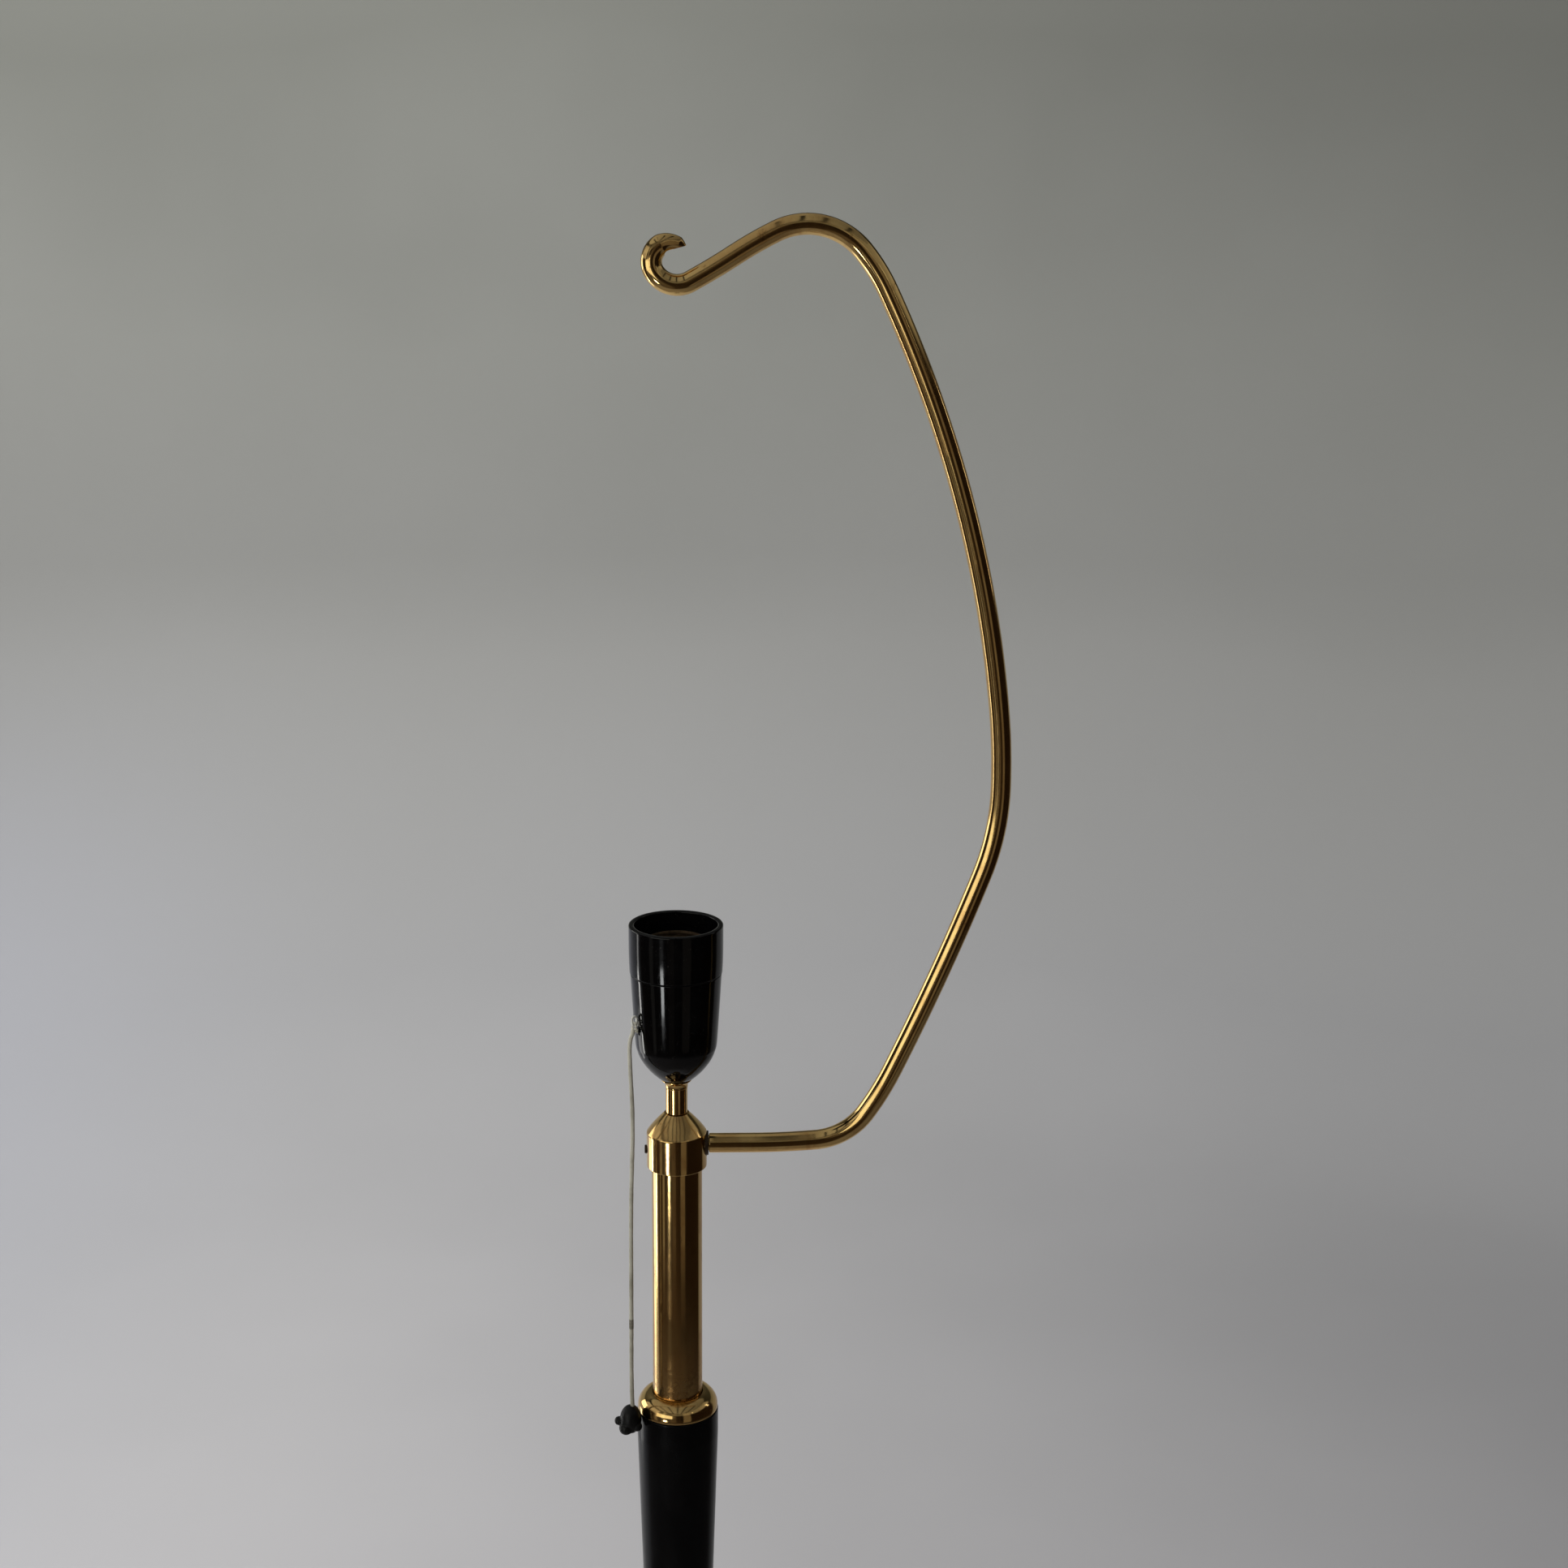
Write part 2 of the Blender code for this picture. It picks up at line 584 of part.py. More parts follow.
def build_column(finish):
    bore = TIE_ROD_RADIUS + SEAT_GAP
    socket = LOWER_TUBE_RADIUS + SEAT_GAP
    brass = finish["brass"]
    pieces = []
    rod_low = BASE_NUT_Z - TIE_ROD_END
    rod_high = TIE_NUT_Z + TIE_NUT_HEIGHT + TIE_ROD_END
    pieces.append(tube("tie_rod", TIE_ROD_RADIUS, TIE_ROD_BORE_RADIUS, rod_low, rod_high, TINY_FACETS,
                       finish["steel"]))

    foot_top = FOOT_Z + FOOT_HEIGHT
    sweep = (FOOT_FLANGE_RADIUS - FOOT_NECK_RADIUS, FOOT_HEIGHT / 2 - FOOT_FLANGE_HEIGHT)
    outline = [(bore, FOOT_Z), (FOOT_FLANGE_RADIUS, FOOT_Z), (FOOT_FLANGE_RADIUS, FOOT_Z + FOOT_FLANGE_HEIGHT)]
    outline += arc_points((FOOT_FLANGE_RADIUS, FOOT_Z + FOOT_HEIGHT / 2), sweep, 270, 180, 3)[1:]
    outline += [(FOOT_NECK_RADIUS, foot_top), (socket, foot_top), (socket, foot_top - TUBE_SOCKET_DEPTH),
                (bore, foot_top - TUBE_SOCKET_DEPTH)]
    pieces.append(lathe("base_foot", outline, COLUMN_FACETS, brass))

    pieces.append(tube("lower_tube", LOWER_TUBE_RADIUS, LOWER_TUBE_RADIUS - LOWER_TUBE_WALL, LOWER_TUBE_Z,
                       LOWER_TUBE_Z + LOWER_TUBE_LENGTH, COLUMN_FACETS, brass))

    ferrule_top = FERRULE_Z + FERRULE_HEIGHT
    ferrule_waist = FERRULE_Z + FERRULE_HEIGHT / 2
    outline = [(socket, FERRULE_Z), (FERRULE_FOOT_RADIUS, FERRULE_Z), (FERRULE_FOOT_RADIUS, ferrule_waist),
               (FERRULE_HEAD_RADIUS, ferrule_top - FERRULE_HEIGHT / 5),
               (FERRULE_HEAD_RADIUS, ferrule_top), (bore, ferrule_top), (bore, FERRULE_Z + TUBE_SOCKET_DEPTH),
               (socket, FERRULE_Z + TUBE_SOCKET_DEPTH)]
    pieces.append(lathe("stem_ferrule", outline, COLUMN_FACETS, brass))

    outline = [(bore, STEM_Z), (STEM_FOOT_RADIUS, STEM_Z),
               (STEM_TOP_RADIUS, STEM_TOP_Z - STEM_STRAIGHT_LENGTH),
               (STEM_TOP_RADIUS, STEM_TOP_Z - STEM_STRAIGHT_LENGTH / 2),
               (STEM_TOP_RADIUS - STEM_EDGE_ROUND / 4, STEM_TOP_Z - STEM_EDGE_ROUND),
               (STEM_TOP_RADIUS - STEM_EDGE_ROUND, STEM_TOP_Z), (bore, STEM_TOP_Z)]
    pieces.append(lathe("black_stem", outline, COLUMN_FACETS, finish["lacquer"]))

    ring_bore = UPPER_TUBE_RADIUS + SEAT_GAP
    land = UPPER_TUBE_Z + RING_LAND_HEIGHT
    outline = [(ring_bore, UPPER_TUBE_Z), (RING_RADIUS, UPPER_TUBE_Z)]
    outline += arc_points((ring_bore, land), (RING_RADIUS - ring_bore, RING_CROWN_HEIGHT), 0, 90, 7)
    pieces.append(lathe("stem_ring", outline, COLUMN_FACETS, brass))

    pieces.append(tube("upper_tube", UPPER_TUBE_RADIUS, UPPER_TUBE_RADIUS - UPPER_TUBE_WALL, UPPER_TUBE_Z,
                       UPPER_TUBE_TOP_Z, COLUMN_FACETS, brass))
    plug = UPPER_TUBE_RADIUS - UPPER_TUBE_WALL - SEAT_GAP
    pieces.append(tube("tube_bush", plug, bore, UPPER_TUBE_Z, UPPER_TUBE_Z + TUBE_BUSH_HEIGHT, SMALL_FACETS, brass))
    pieces.append(hex_nut("tie_rod_nut", TIE_NUT_FLATS, bore, TIE_NUT_Z, TIE_NUT_HEIGHT, finish["steel"]))

    groove = COLLAR_Z + SET_SCREW_HEIGHT
    low = UPPER_TUBE_TOP_Z - SPIGOT_SHANK_LENGTH
    high = UPPER_TUBE_TOP_Z + SPIGOT_HEIGHT
    outline = [(SPIGOT_BORE_RADIUS, low), (plug, low), (plug, UPPER_TUBE_TOP_Z), (SPIGOT_RADIUS, UPPER_TUBE_TOP_Z),
               (SPIGOT_RADIUS, groove - SPIGOT_GROOVE_WIDTH / 2),
               (SPIGOT_GROOVE_RADIUS, groove - SPIGOT_GROOVE_WIDTH / 2),
               (SPIGOT_GROOVE_RADIUS, groove + SPIGOT_GROOVE_WIDTH / 2),
               (SPIGOT_RADIUS, groove + SPIGOT_GROOVE_WIDTH / 2), (SPIGOT_RADIUS, high), (SPIGOT_BORE_RADIUS, high)]
    pieces.append(lathe("head_spigot", outline, SMALL_FACETS, brass))
    return pieces


# Head pieces, built about the lamp's axis with heights above the collar's lower edge

CONE_SHARES = ((0.00, 0.00), (0.345, 0.30), (0.68, 0.62), (0.905, 0.87), (0.985, 0.975), (1.00, 1.05))


def build_collar(finish):
    nipple_hole = NIPPLE_RADIUS + SEAT_GAP
    turning = SPIGOT_RADIUS + RUNNING_GAP
    lip = UPPER_TUBE_RADIUS + RUNNING_GAP
    ceiling = COLLAR_LIP_DEPTH - SEAT_GAP + SPIGOT_HEIGHT + SEAT_GAP
    cone_reach = COLLAR_RADIUS - COLLAR_TOP_RADIUS
    outline = [(nipple_hole, COLLAR_HEIGHT)]
    outline += [(COLLAR_TOP_RADIUS + share_out * cone_reach, COLLAR_HEIGHT - share_down * COLLAR_CONE_HEIGHT)
                for share_out, share_down in CONE_SHARES]
    outline += [(COLLAR_RADIUS, COLLAR_EDGE_ROUND), (COLLAR_RADIUS - COLLAR_EDGE_ROUND, 0.0), (lip, 0.0),
                (lip, COLLAR_LIP_DEPTH), (turning, COLLAR_LIP_DEPTH), (turning, ceiling), (nipple_hole, ceiling)]
    collar = lathe("head_collar", outline, COLUMN_FACETS, finish["brass"])
    seat = rod("arm_seat", ARM_NUT_RADIUS + SEAT_GAP, ARM_SEAT_FACE, COLLAR_RADIUS + CUT_OVERRUN, SMALL_FACETS,
               finish["brass"])
    cut(collar, shift(upright_to_out(seat), (0.0, 0.0, ARM_HEIGHT)))
    stud_hole = rod("stud_hole", ARM_STUD_RADIUS + SEAT_GAP, SPIGOT_RADIUS / 2, COLLAR_RADIUS + CUT_OVERRUN,
                    TINY_FACETS, finish["brass"])
    cut(collar, shift(upright_to_out(stud_hole), (0.0, 0.0, ARM_HEIGHT)))
    screw_hole = rod("screw_hole", SET_SCREW_RADIUS + SEAT_GAP, -COLLAR_RADIUS - CUT_OVERRUN, -SPIGOT_RADIUS / 2,
                     TINY_FACETS, finish["brass"])
    return cut(collar, shift(upright_to_out(screw_hole), (0.0, 0.0, SET_SCREW_HEIGHT)))


def build_set_screw(finish):
    outer = COLLAR_RADIUS + SET_SCREW_PROUD
    tip = SPIGOT_GROOVE_RADIUS + SEAT_GAP
    bevel = SCREW_SLOT_WIDTH / 2
    outline = [(0.0, -outer), (SET_SCREW_RADIUS - bevel, -outer), (SET_SCREW_RADIUS, -outer + bevel),
               (SET_SCREW_RADIUS, -tip - bevel), (SET_SCREW_RADIUS - bevel, -tip), (0.0, -tip)]
    screw = lathe("collar_set_screw", outline, TINY_FACETS, finish["dark_steel"])
    reach = SET_SCREW_RADIUS + CUT_OVERRUN
    slot = block("slot", (-reach, -SCREW_SLOT_WIDTH / 2, -outer - CUT_OVERRUN),
                 (reach, SCREW_SLOT_WIDTH / 2, -outer + SCREW_SLOT_DEPTH), finish["dark_steel"])
    cut(screw, slot)
    return shift(upright_to_out(screw), (0.0, 0.0, SET_SCREW_HEIGHT))


def build_arm_nut(finish):
    low = ARM_SEAT_FACE + SEAT_GAP
    high = low + ARM_NUT_THICKNESS
    bevel = ARM_NUT_THICKNESS / 5
    bore = ARM_STUD_RADIUS + SEAT_GAP
    outline = [(bore, low), (ARM_NUT_RADIUS, low), (ARM_NUT_RADIUS, high - bevel), (ARM_NUT_RADIUS - bevel, high),
               (bore, high)]
    nut = lathe("arm_lock_nut", outline, SMALL_FACETS, finish["dark_steel"])
    return shift(upright_to_out(nut), (0.0, 0.0, ARM_HEIGHT))


def bend_length(radius, angle):
    return radius * math.radians(abs(angle))


def arm_bends():
    """The arm's runs in order, each with its length, its turn and its end radius."""
    hook_length = bend_length(HOOK_BEND_RADIUS, HOOK_BEND_ANGLE)
    taper_length = bend_length(HOOK_BEND_RADIUS, HOOK_TAPER_ANGLE)
    nose_length = bend_length(HOOK_NOSE_BEND_RADIUS, HOOK_NOSE_ANGLE)
    tip_length = bend_length(HOOK_NOSE_BEND_RADIUS, HOOK_TIP_ANGLE)
    return [
        (ARM_RUN_LENGTH, 0.0, ARM_RADIUS),
        (ARM_RUN_EASE_LENGTH, ARM_RUN_EASE_ANGLE, ARM_RADIUS),
        (ARM_FOOT_BEND_LENGTH, ARM_FOOT_BEND_ANGLE, ARM_RADIUS),
        (ARM_FOOT_EASE_LENGTH, ARM_FOOT_EASE_ANGLE, ARM_RADIUS),
        (ARM_RISE_LENGTH, ARM_RISE_ANGLE, ARM_RADIUS),
        (ARM_ELBOW_LENGTH, ARM_ELBOW_ANGLE, ARM_RADIUS),
        (ARM_ELBOW_EASE_LENGTH, ARM_ELBOW_EASE_ANGLE, ARM_RADIUS),
        (ARM_BOW_LENGTH, ARM_BOW_ANGLE, ARM_RADIUS),
        (ARM_SHOULDER_LENGTH, ARM_SHOULDER_ANGLE, ARM_RADIUS),
        (ARM_CROWN_LENGTH, ARM_CROWN_ANGLE, ARM_RADIUS),
        (ARM_CROWN_EASE_LENGTH, ARM_CROWN_EASE_ANGLE, ARM_RADIUS),
        (ARM_FALL_LENGTH, ARM_FALL_ANGLE, ARM_RADIUS),
        (HOOK_EASE_LENGTH, HOOK_EASE_ANGLE, ARM_RADIUS),
        (hook_length, HOOK_BEND_ANGLE, ARM_RADIUS),
        (taper_length, HOOK_TAPER_ANGLE, HOOK_TAPER_RADIUS),
        (nose_length, HOOK_NOSE_ANGLE, HOOK_NOSE_RADIUS),
        (tip_length, HOOK_TIP_ANGLE, HOOK_TIP_RADIUS),
    ]


def arm_rings():
    """Each ring's centre (x, z), its heading in degrees and its radius."""
    shoulder = ARM_SEAT_FACE + ARM_NUT_THICKNESS + 2 * SEAT_GAP
    rings = [(ARM_STUD_START, 0.0, 0.0, ARM_STUD_RADIUS), (shoulder, 0.0, 0.0, ARM_STUD_RADIUS),
             (shoulder, 0.0, 0.0, ARM_RADIUS)]
    x, z, heading, start_radius = shoulder, 0.0, 0.0, ARM_RADIUS
    for length, turn, end_radius in arm_bends():
        steps = max(1, round(abs(turn) / ARM_RING_TURN), round(length / ARM_RING_SPACING))
        for step in range(1, steps + 1):
            middle = math.radians(heading + turn / steps / 2)
            x += length / steps * math.cos(middle)
            z += length / steps * math.sin(middle)
            heading += turn / steps
            radius = start_radius + (end_radius - start_radius) * step / steps
            rings.append((x, z, heading, radius))
        start_radius = end_radius
    return rings


def build_arm(finish):
    rings = arm_rings()
    bm = bmesh.new()
    loops = []
    for x, z, heading, radius in rings:
        angle = math.radians(heading)
        loop = []
        for step in range(ARM_FACETS):
            turn = math.tau * (step + 0.5) / ARM_FACETS
            up = radius * math.cos(turn)
            side = radius * math.sin(turn)
            loop.append(bm.verts.new((x - up * math.sin(angle), side, z + up * math.cos(angle))))
        loops.append(loop)
    bm.faces.new(loops[0])
    bm.faces.new(list(reversed(loops[-1])))
    for loop, after in zip(loops[:-1], loops[1:]):
        for step in range(ARM_FACETS):
            following = (step + 1) % ARM_FACETS
            bm.faces.new([loop[step], loop[following], after[following], after[step]])
    arm = make_object("shade_arm", bm, finish["brass"])
    cut(arm, hook_cut(rings[-1], finish))
    return shift(arm, (0.0, 0.0, ARM_HEIGHT))


def hook_cut(tip, finish):
    """The wedge that leaves the hook's end flat on its under side."""
    front = ARM_RADIUS
    corner = HOOK_CUT_LENGTH + HOOK_CUT_CORNER
    outline = [(front, front * HOOK_CUT_SLOPE), (-HOOK_CUT_LENGTH, -HOOK_CUT_LENGTH * HOOK_CUT_SLOPE),
               (-corner, -HOOK_CUT_LENGTH * HOOK_CUT_SLOPE - HOOK_CUT_CORNER), (-corner, -HOOK_CUT_DEPTH),
               (front, -HOOK_CUT_DEPTH)]
    points = [(tip[0] + x, tip[1] + HOOK_CUT_RISE + z) for x, z in outline]
    wedge = prism("hook_cut", points, -ARM_RADIUS - CUT_OVERRUN, ARM_RADIUS + CUT_OVERRUN, finish["brass"])
    return stand_up(wedge)


def build_head(finish):
    brass = finish["brass"]
    pieces = [build_collar(finish), build_set_screw(finish), build_arm_nut(finish), build_arm(finish)]
    base = COLLAR_Z
    nipple_hole = NIPPLE_RADIUS + SEAT_GAP
    ceiling = COLLAR_LIP_DEPTH + SPIGOT_HEIGHT
    holder_floor = HOLDER_Z + BODY_FLOOR_THICKNESS - base
    nut_low = holder_floor + SEAT_GAP
    pieces.append(tube("threaded_nipple", NIPPLE_RADIUS, NIPPLE_BORE_RADIUS, ceiling + SEAT_GAP,
                       nut_low + HOLDER_NUT_HEIGHT + TIE_ROD_END, TINY_FACETS, finish["steel"]))
    spacer = SPACER_Z - base
    pieces.append(tube("spacer_tube", SPACER_RADIUS, nipple_hole, spacer, spacer + SPACER_LENGTH, SMALL_FACETS,
                       brass))
    cup_low = CUP_Z - base
    cup_top = cup_low + CUP_HEIGHT
    flare = (CUP_TOP_RADIUS - CUP_FOOT_RADIUS, CUP_HEIGHT * 0.85)
    outline = [(nipple_hole, cup_low), (CUP_FOOT_RADIUS, cup_low)]
    outline += arc_points((CUP_TOP_RADIUS, cup_low + CUP_HEIGHT * 0.05), flare, 180, 90, 4)
    outline += [(CUP_TOP_RADIUS, cup_top), (nipple_hole, cup_top)]
    pieces.append(lathe("flared_cup", outline, SMALL_FACETS, brass))
    pieces.append(hex_nut("holder_nut", HOLDER_NUT_FLATS, nipple_hole, nut_low, HOLDER_NUT_HEIGHT, finish["steel"]))
    return pieces


# Lampholder pieces, built with the rim at zero height and the pull side along +X


def build_skirt(finish):
    lip_in = RIM_RADIUS - RIM_WALL
    flange_top = -SKIRT_FLANGE_DEPTH
    flange_low = flange_top - SKIRT_FLANGE_THICKNESS
    hold_down = SHELL_RADIUS + SHELL_LIP + SHELL_CLEARANCE
    outline = [(SKIRT_THREAD_RADIUS, -SKIRT_HEIGHT), (SKIRT_FOOT_RADIUS, -SKIRT_HEIGHT),
               (RIM_RADIUS, -SKIRT_HEIGHT / 2), (RIM_RADIUS, -RIM_ROUND)]
    outline += [(RIM_RADIUS - RIM_ROUND / 3, -RIM_ROUND / 4), (RIM_RADIUS - RIM_ROUND, 0.0),
                (lip_in + RIM_ROUND, 0.0), (lip_in, -RIM_ROUND),
                (lip_in, flange_top), (hold_down, flange_top), (hold_down, flange_low),
                (SKIRT_THREAD_RADIUS, flange_low)]
    return lathe("holder_skirt", outline, COLUMN_FACETS, finish["bakelite"])


DOME_SHARES = ((0.963, 0.215), (0.900, 0.392), (0.812, 0.549), (0.696, 0.706), (0.574, 0.838), (0.467, 0.936))


def build_body(finish):
    thread = SKIRT_THREAD_RADIUS - SEAT_GAP
    top = -SKIRT_HEIGHT - SEAT_GAP
    shoulder_drop = HOLDER_HEIGHT - BODY_SHOULDER_DEPTH
    outline = [(BODY_BORE_RADIUS, -BODY_THREAD_DEPTH), (thread, -BODY_THREAD_DEPTH), (thread, top),
               (BODY_TOP_RADIUS, top), (BODY_SHOULDER_RADIUS + (BODY_TOP_RADIUS - BODY_SHOULDER_RADIUS) * 0.53,
                                        (top - BODY_SHOULDER_DEPTH) / 2),
               (BODY_SHOULDER_RADIUS, -BODY_SHOULDER_DEPTH)]
    outline += [(BODY_SHOULDER_RADIUS * share_out, -BODY_SHOULDER_DEPTH - shoulder_drop * share_down)
                for share_out, share_down in DOME_SHARES]
    hole = NIPPLE_RADIUS + SEAT_GAP
    ledge = -CORE_FOOT_DEPTH - SEAT_GAP
    floor = BODY_FLOOR_THICKNESS - HOLDER_HEIGHT
    bowl = floor + BODY_FLOOR_RADIUS
    outline += [(BODY_FOOT_RADIUS, -HOLDER_HEIGHT), (hole, -HOLDER_HEIGHT), (hole, floor),
                (BODY_FLOOR_RADIUS, floor)]
    outline += arc_points((BODY_FLOOR_RADIUS, bowl), (BODY_CAVITY_RADIUS - BODY_FLOOR_RADIUS, BODY_FLOOR_RADIUS),
                          -60, 0, 2)
    outline += [(BODY_CAVITY_RADIUS, ledge), (BODY_BORE_RADIUS, ledge)]
    body = lathe("holder_body", outline, COLUMN_FACETS, finish["bakelite"])
    return cut(body, lever_slot(finish))


def lever_slot(finish):
    """The slot that the lever sweeps through, from its rest to its pulled place."""
    arm_out = EYE_OUT - EYE_WIDTH / 2 - PIVOT_OUT
    arm_low = EYE_DEPTH * -1 + PIVOT_DEPTH - EYE_HEIGHT / 2 + SLOT_MARGIN
    arm_high = arm_low + LEVER_ARM_HEIGHT
    pulled_low = -arm_out * math.sin(LEVER_TRAVEL) + arm_low * math.cos(LEVER_TRAVEL)
    low = -PIVOT_DEPTH + pulled_low - SLOT_MARGIN
    high = -PIVOT_DEPTH + arm_high + SLOT_MARGIN
    return block("lever_slot", (BODY_CAVITY_RADIUS - CUT_OVERRUN, -SLOT_WIDTH / 2, low),
                 (RIM_RADIUS + CUT_OVERRUN, SLOT_WIDTH / 2, high), finish["bakelite"])


def build_core(finish):
    wall_in = SHELL_RADIUS + SHELL_CLEARANCE
    wall_out = wall_in + CORE_WALL
    wall_top = -SKIRT_FLANGE_DEPTH - SKIRT_FLANGE_THICKNESS - SEAT_GAP
    outline = [(0.0, -CORE_FOOT_DEPTH), (CORE_RADIUS, -CORE_FOOT_DEPTH), (CORE_RADIUS, -CORE_SHOULDER_DEPTH),
               (wall_out, -CORE_SHOULDER_DEPTH), (wall_out, wall_top), (wall_in, wall_top),
               (wall_in, -CORE_FLOOR_DEPTH), (0.0, -CORE_FLOOR_DEPTH)]
    porcelain = finish["porcelain"]
    core = lathe("holder_core", outline, SMALL_FACETS, porcelain)
    middle = PIVOT_OUT
    for side in (-1, 1):
        near = side * EAR_INNER
        far = side * (EAR_INNER + EAR_THICKNESS)
        low = (middle - EAR_LENGTH / 2, min(near, far), -CORE_FOOT_DEPTH - EAR_DEPTH)
        high = (middle + EAR_LENGTH / 2, max(near, far), -CORE_FOOT_DEPTH + CUT_OVERRUN)
        join(core, block("ear", low, high, porcelain))
    pin_hole = rod("pin_hole", PIN_RADIUS + RUNNING_GAP, -PIN_LENGTH, PIN_LENGTH, TINY_FACETS, porcelain)
    return cut(core, shift(upright_to_side(pin_hole), (PIVOT_OUT, 0.0, -PIVOT_DEPTH)))


def build_shell(finish):
    inner = SHELL_RADIUS - SHELL_WALL
    floor = -CORE_FLOOR_DEPTH + SEAT_GAP
    outline = [(inner, floor), (SHELL_RADIUS, floor), (SHELL_RADIUS, -SHELL_TOP_DEPTH - 2 * SHELL_WALL),
               (SHELL_RADIUS + SHELL_LIP, -SHELL_TOP_DEPTH - SHELL_WALL),
               (SHELL_RADIUS + SHELL_LIP / 2, -SHELL_TOP_DEPTH), (inner, -SHELL_TOP_DEPTH)]
    return lathe("screw_shell", outline, SMALL_FACETS, finish["brass"])


def strip(name, route, width, material):
    """A flat spring strip of even thickness along an (x, z) route, centred on y = 0."""
    left = []
    right = []
    half = CONTACT_THICKNESS / 2
    for index, (x, z) in enumerate(route):
        before = Vector(route[max(index - 1, 0)])
        after = Vector(route[min(index + 1, len(route) - 1)])
        direction = (after - before).normalized()
        normal = Vector((-direction.y, direction.x)) * half
        left.append((x + normal.x, z + normal.y))
        right.append((x - normal.x, z - normal.y))
    return stand_up(prism(name, left + right[::-1], -width / 2, width / 2, material))


def build_contacts(finish):
    floor = -CORE_FLOOR_DEPTH + SEAT_GAP + CONTACT_THICKNESS / 2
    crest = floor + CONTACT_RISE
    centre_route = [(-CONTACT_REACH, floor), (-CONTACT_WIDTH, floor), (-CONTACT_WIDTH / 2, crest - CONTACT_THICKNESS),
                    (CONTACT_WIDTH / 2, crest), (CONTACT_WIDTH, crest - CONTACT_THICKNESS * 2)]
    centre = strip("centre_contact", centre_route, CONTACT_WIDTH, finish["brass"])
    reach = SHELL_RADIUS - SHELL_WALL - CONTACT_THICKNESS - SEAT_GAP
    side_route = [(reach - CONTACT_WIDTH, floor), (reach - CONTACT_THICKNESS, floor),
                  (reach, floor + CONTACT_THICKNESS), (reach, crest)]
    side = strip("side_contact", side_route, CONTACT_WIDTH / 2, finish["brass"])
    return [centre, side]


def build_terminal(finish, side):
    top = -CORE_FOOT_DEPTH - SEAT_GAP
    low = top - TERMINAL_HEIGHT
    half = TERMINAL_WIDTH / 2
    label = "left" if side > 0 else "right"
    centre = (-TERMINAL_OUT, side * TERMINAL_SIDE, 0.0)
    body = block("terminal_" + label, (-half, -half, low), (half, half, top), finish["brass"])
    hole = rod("screw_hole", TERMINAL_SCREW_RADIUS + SEAT_GAP, low - CUT_OVERRUN, top + CUT_OVERRUN, TINY_FACETS,
               finish["brass"])
    cut(body, hole)
    seat = low - SEAT_GAP
    outline = [(0.0, seat - TERMINAL_HEAD_HEIGHT), (TERMINAL_HEAD_RADIUS, seat - TERMINAL_HEAD_HEIGHT),
               (TERMINAL_HEAD_RADIUS, seat), (TERMINAL_SCREW_RADIUS, seat),
               (TERMINAL_SCREW_RADIUS, seat + TERMINAL_SCREW_LENGTH), (0.0, seat + TERMINAL_SCREW_LENGTH)]
    screw = lathe("terminal_screw_" + label, outline, TINY_FACETS, finish["steel"])
    reach = TERMINAL_HEAD_RADIUS + CUT_OVERRUN
    head_face = seat - TERMINAL_HEAD_HEIGHT
    slot = block("slot", (-reach, -SCREW_SLOT_WIDTH / 2, head_face - CUT_OVERRUN),
                 (reach, SCREW_SLOT_WIDTH / 2, head_face + TERMINAL_HEAD_HEIGHT / 2), finish["steel"])
    cut(screw, slot)
    return [shift(body, centre), shift(screw, centre)]


def build_pin(finish):
    pin = rod("lever_pin", PIN_RADIUS, -PIN_LENGTH / 2, PIN_LENGTH / 2, TINY_FACETS, finish["steel"])
    return shift(upright_to_side(pin), (PIVOT_OUT, 0.0, -PIVOT_DEPTH))


def build_spring(finish):
    """Return spring: a coil round the pivot pin beside the lever."""
    curve = bpy.data.curves.new("switch_spring", "CURVE")
    curve.dimensions = "3D"
    curve.bevel_depth = SPRING_WIRE_RADIUS
    curve.bevel_resolution = 1
    curve.use_fill_caps = True
    per_turn = 10
    count = round(SPRING_TURNS * per_turn) + 1
    spline = curve.splines.new("POLY")
    spline.points.add(count - 1)
    start = -LEVER_THICKNESS / 2 - ROTOR_SIDE_CLEARANCE
    for index in range(count):
        angle = math.tau * index / per_turn
        along = start - SPRING_PITCH * index / per_turn
        point = (SPRING_RADIUS * math.cos(angle), along, SPRING_RADIUS * math.sin(angle), 1.0)
        spline.points[index].co = point
    curve.materials.append(finish["steel"])
    spring = bpy.data.objects.new("switch_spring", curve)
    bpy.context.scene.collection.objects.link(spring)
    return spring


def build_rotor(finish):
    """The ratchet drum, centred on its axis, which runs along the local +Y."""
    outline = []
    for tooth in range(ROTOR_TEETH):
        for share, radius in ((0.0, ROTOR_RADIUS - ROTOR_TOOTH_DEPTH), (0.85, ROTOR_RADIUS)):
            angle = math.tau * (tooth + share) / ROTOR_TEETH
            outline.append((radius * math.cos(angle), radius * math.sin(angle)))
    low = LEVER_THICKNESS / 2 + ROTOR_SIDE_CLEARANCE
    drum = prism("switch_rotor", outline, low, low + ROTOR_WIDTH, finish["bakelite"])
    bore = rod("rotor_bore", PIN_RADIUS + RUNNING_GAP, low - CUT_OVERRUN, low + ROTOR_WIDTH + CUT_OVERRUN,
               TINY_FACETS, finish["bakelite"])
    cut(drum, bore)
    return upright_to_side(drum)


def oval(width, height, steps):
    """An upright oval outline with straight sides and round ends, about its centre."""
    radius = width / 2
    straight = height / 2 - radius
    return (arc_points((0.0, straight), (radius, radius), 0, 180, steps)
            + arc_points((0.0, -straight), (radius, radius), 180, 360, steps))


